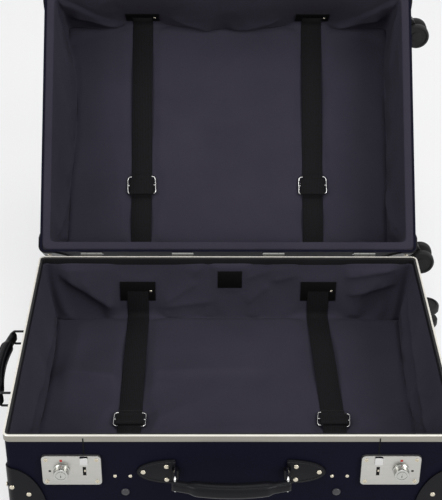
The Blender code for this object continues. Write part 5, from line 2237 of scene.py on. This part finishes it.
@dataclass
class Casters:
    """Four twin-wheel casters on the end wall."""

    trail: float = 0.019
    mount: Pair = (CASE.caster_mount, 0.0022)
    wheel_radius: float = 0.0185
    wheel_width: float = 0.010
    split: float = 0.014
    wall_clearance: float = 0.0036
    axle_radius: float = 0.0025
    axle_clearance: float = 0.0004
    disc: Pair = (0.0100, 0.0030)
    eye: float = 0.0068

    @property
    def lift(self) -> float:
        """How far the axle stands off the wall."""
        return self.wall_clearance + self.wheel_radius

    def mount_shape(self) -> Shape:
        """The round plate on the wall."""
        radius, top = self.mount[0], GAP + self.mount[1]
        return lathe([(radius, GAP), (radius, top - 0.0007), (radius - 0.0007, top), (radius * 0.4, top)])

    def fork_shape(self) -> Shape:
        """The swivelling body between the wheels.

        Returns:
            The fork.
        """
        radius, sheet = self.disc
        start = self.mount[1] + 2 * GAP
        top = start + sheet
        disc = lathe([(radius - 0.0004, start), (radius, start + 0.0004), (radius, top), (radius * 0.5, top)])
        shoulder = radius * 0.86
        arm = [Vector((shoulder, start + GAP))]
        for step in range(17):
            angle = math.radians(-50 + 180 * step / 16)
            out = self.eye * Vector((math.cos(angle), math.sin(angle)))
            arm.append(Vector((self.trail, self.lift)) + out)
        arm += [
            Vector((-shoulder * 0.55, self.lift * 0.72)), Vector((-shoulder, start + 2 * sheet)),
            Vector((-shoulder, start + GAP)),
        ]
        wide = self.split / 2 - 0.0006
        body = loft([[Vector((p.x, y, p.y)) for p in arm] for y in (-wide, wide)])
        bore = self.axle_radius + self.axle_clearance
        hole = rod((self.trail, -0.02, self.lift), (self.trail, 0.02, self.lift), bore)
        return merge(disc, cut(body, hole))

    def wheels_shape(self) -> Shape:
        """Twin wheels with hollow faces, on their axle.

        Returns:
            The wheels.
        """
        inner, outer = self.split / 2, self.split / 2 + self.wheel_width
        r = self.wheel_radius
        parts = [lathe([(self.axle_radius, -inner - 0.001), (self.axle_radius, inner + 0.001)], 24)]
        for side in (-1, 1):
            profile = [
                (self.axle_radius * 0.5, inner), (r * 0.84, inner), (r * 0.95, inner + 0.0006),
                (r, inner + 0.002), (r, outer - 0.002), (r * 0.96, outer - 0.0005), (r * 0.91, outer),
                (r * 0.80, outer), (r * 0.77, outer - 0.0012), (r * 0.45, outer - 0.0012),
                (r * 0.42, outer - 0.0002), (r * 0.3, outer), (r * 0.1, outer),
            ]
            parts.append(lathe([(radius, side * z) for radius, z in profile], 64))
        made = merge(*parts)
        turn = Matrix.Rotation(math.radians(90), 4, "X")
        made.transform(Matrix.Translation((self.trail, 0.0, self.lift)) @ turn)
        return made

    def build(self) -> None:
        """Makes the casters, each trailing the way it hangs."""
        down = Matrix.Rotation(math.radians(CASE.open_deg), 3, "X") @ Vector((0.0, 0.0, -1.0))
        outward = Vector((1.0, 0.0, 0.0))
        for half, trail in ((BASE, Vector((0.0, 1.0, 0.0))), (LID, down)):
            for name, side_y in (("front", -1), ("back", 1)):
                turn = Matrix((trail, outward.cross(trail), outward)).transposed().to_4x4()
                place = half.to_rest() @ Matrix.Translation(caster_centre(half, side_y)) @ turn
                stem = f"{half.name}_caster_{name}"
                piece(f"steel_{stem}_mount", self.mount_shape(), CHROME, half.name, [f"{stem}_mount"], place)
                fork, wheels = f"{stem}_fork", f"{stem}_wheels"
                piece(f"moulded_{fork}", self.fork_shape(), MOULDING, fork, [fork], place)
                piece(f"twin_{wheels}", self.wheels_shape(), TYRE, wheels, [wheels], place)


@dataclass
class Studio:
    """The pale floor, the soft light and the camera."""

    eye: Vector = Vector((-0.0242, -1.3357, 1.0972))
    pitch_deg: float = 32.265
    yaw_deg: float = 0.527
    roll_deg: float = -0.348
    lens: float = 92.887
    sensor: float = 36.0
    floor_reach: float = 40.0
    floor_tone: float = 0.42
    floor_shown: float = 0.66
    sky_strength: float = 0.42

    def floor(self) -> None:
        """A wide pale floor that keeps a soft shadow."""
        mesh = bpy.data.meshes.new("floor")
        reach = self.floor_reach
        corners = [(-reach, -reach, 0), (reach, -reach, 0), (reach, reach, 0), (-reach, reach, 0)]
        mesh.from_pydata(corners, [], [(0, 1, 2, 3)])
        made = bpy.data.materials.new("pale_floor")
        made.use_nodes = True
        tree = made.node_tree
        set_inputs(tree, tree.nodes["Principled BSDF"], {
            "Base Color": (*[self.floor_tone] * 3, 1.0),
            "Roughness": 0.9,
            "Emission Color": (0.87, 0.87, 0.875, 1.0),
            "Emission Strength": self.seen(tree, self.floor_shown),
        })
        mesh.materials.append(made)
        floor = in_scene("studio_floor", mesh)
        floor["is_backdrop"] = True

    def seen(self, tree: Tree, strength: float) -> Socket:
        """A strength that shows to the camera, in mirrors and through glass, and gives no light.

        Args:
            tree: The node tree that it is for.
            strength: The strength where it shows.

        Returns:
            The socket that gives it.
        """
        rays = add_node(tree, "ShaderNodeLightPath").outputs
        whole = rays["Is Camera Ray"]
        for ray in ("Is Glossy Ray", "Is Transmission Ray"):
            whole = math_node(tree, "MAXIMUM", whole, rays[ray])
        return math_node(tree, "MULTIPLY", whole, strength)

    def lamp(
        self, name: str, at: Sequence[float], target: Sequence[float], size: float, power: float
    ) -> None:
        """A large soft lamp that faces a point.

        Args:
            name: Its name.
            at: Where it stands.
            target: The point.
            size: How wide it is.
            power: Its power in watts.
        """
        data = bpy.data.lights.new(name, "AREA")
        data.shape = "DISK"
        data.size = size
        data.energy = power
        lamp = in_scene(name, data)
        lamp.location = at
        lamp.rotation_euler = (Vector(target) - Vector(at)).to_track_quat("-Z", "Y").to_euler()

    def light(self) -> None:
        """An even sky and three soft lamps."""
        world = bpy.data.worlds.new("studio_world")
        world.use_nodes = True
        tree = world.node_tree
        sky = tree.nodes["Background"]
        set_inputs(tree, sky, {"Color": (1.0, 1.0, 1.02, 1.0), "Strength": self.sky_strength})
        pale = add_node(tree, "ShaderNodeBackground", {"Color": (0.80, 0.80, 0.805, 1.0)})
        both = add_node(tree, "ShaderNodeMixShader", {
            "Fac": self.seen(tree, 1.0), 1: sky.outputs["Background"], 2: pale.outputs["Background"],
        })
        set_inputs(tree, tree.nodes["World Output"], {"Surface": both.outputs["Shader"]})
        bpy.context.scene.world = world
        self.lamp("key", (1.8, -1.4, 1.5), (0.0, 0.2, 0.2), 1.4, 36.0)
        self.lamp("fill", (-1.9, -1.3, 1.3), (0.0, 0.2, 0.2), 1.4, 24.0)
        self.lamp("top", (0.2, 0.0, 2.8), (0.0, 0.1, 0.1), 1.8, 16.0)

    def camera(self) -> None:
        """The camera at the photograph's angle."""
        pitch, yaw, roll = (math.radians(v) for v in (self.pitch_deg, self.yaw_deg, self.roll_deg))
        ahead = Vector((math.sin(yaw) * math.cos(pitch), math.cos(yaw) * math.cos(pitch), -math.sin(pitch)))
        right = Vector((math.cos(yaw), -math.sin(yaw), 0.0))
        down = ahead.cross(right)
        across = math.cos(roll) * right + math.sin(roll) * down
        below = math.cos(roll) * down - math.sin(roll) * right
        data = bpy.data.cameras.new("camera")
        data.lens = self.lens
        data.sensor_width = self.sensor
        made = in_scene("camera", data)
        turn = Matrix((across, -below, -ahead)).transposed().to_4x4()
        made.matrix_world = Matrix.Translation(self.eye) @ turn
        bpy.context.scene.camera = made

    def build(self) -> None:
        """Sets the studio up."""
        self.floor()
        self.light()
        self.camera()
        bpy.context.scene.view_settings.view_transform = "Standard"


def visual_box() -> tuple[list[float], list[float]]:
    """The lowest and highest corners of all the pieces that show.

    Returns:
        The two corners.
    """
    low, high = np.full(3, np.inf), np.full(3, -np.inf)
    for made in bpy.context.scene.objects:
        if made.type != "MESH" or made.hide_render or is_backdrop(made):
            continue
        corners = np.array([made.matrix_world @ Vector(corner) for corner in made.bound_box])
        low, high = np.minimum(low, corners.min(axis=0)), np.maximum(high, corners.max(axis=0))
    return low.tolist(), high.tolist()


def main() -> None:
    """Builds the dressed case and its studio."""
    logging.basicConfig(level=logging.INFO)
    fixings = Fixings()
    Shells().build()
    Corners(fixings).build()
    Hinges(fixings).build()
    Locks(fixings).build()
    Handles(fixings).build()
    Trolley().build()
    Straps(fixings).build()
    Casters().build()
    fixings.set_out()
    Lining(BASE, 11).build()
    Lining(LID, 23).build()
    Studio().build()
    bpy.context.view_layer.update()
    cad = [[float(v) for v in corner] for corner in CAD_BOX]
    {"cad": cad, "visual": list(visual_box())}


if __name__ == "__main__":
    main()
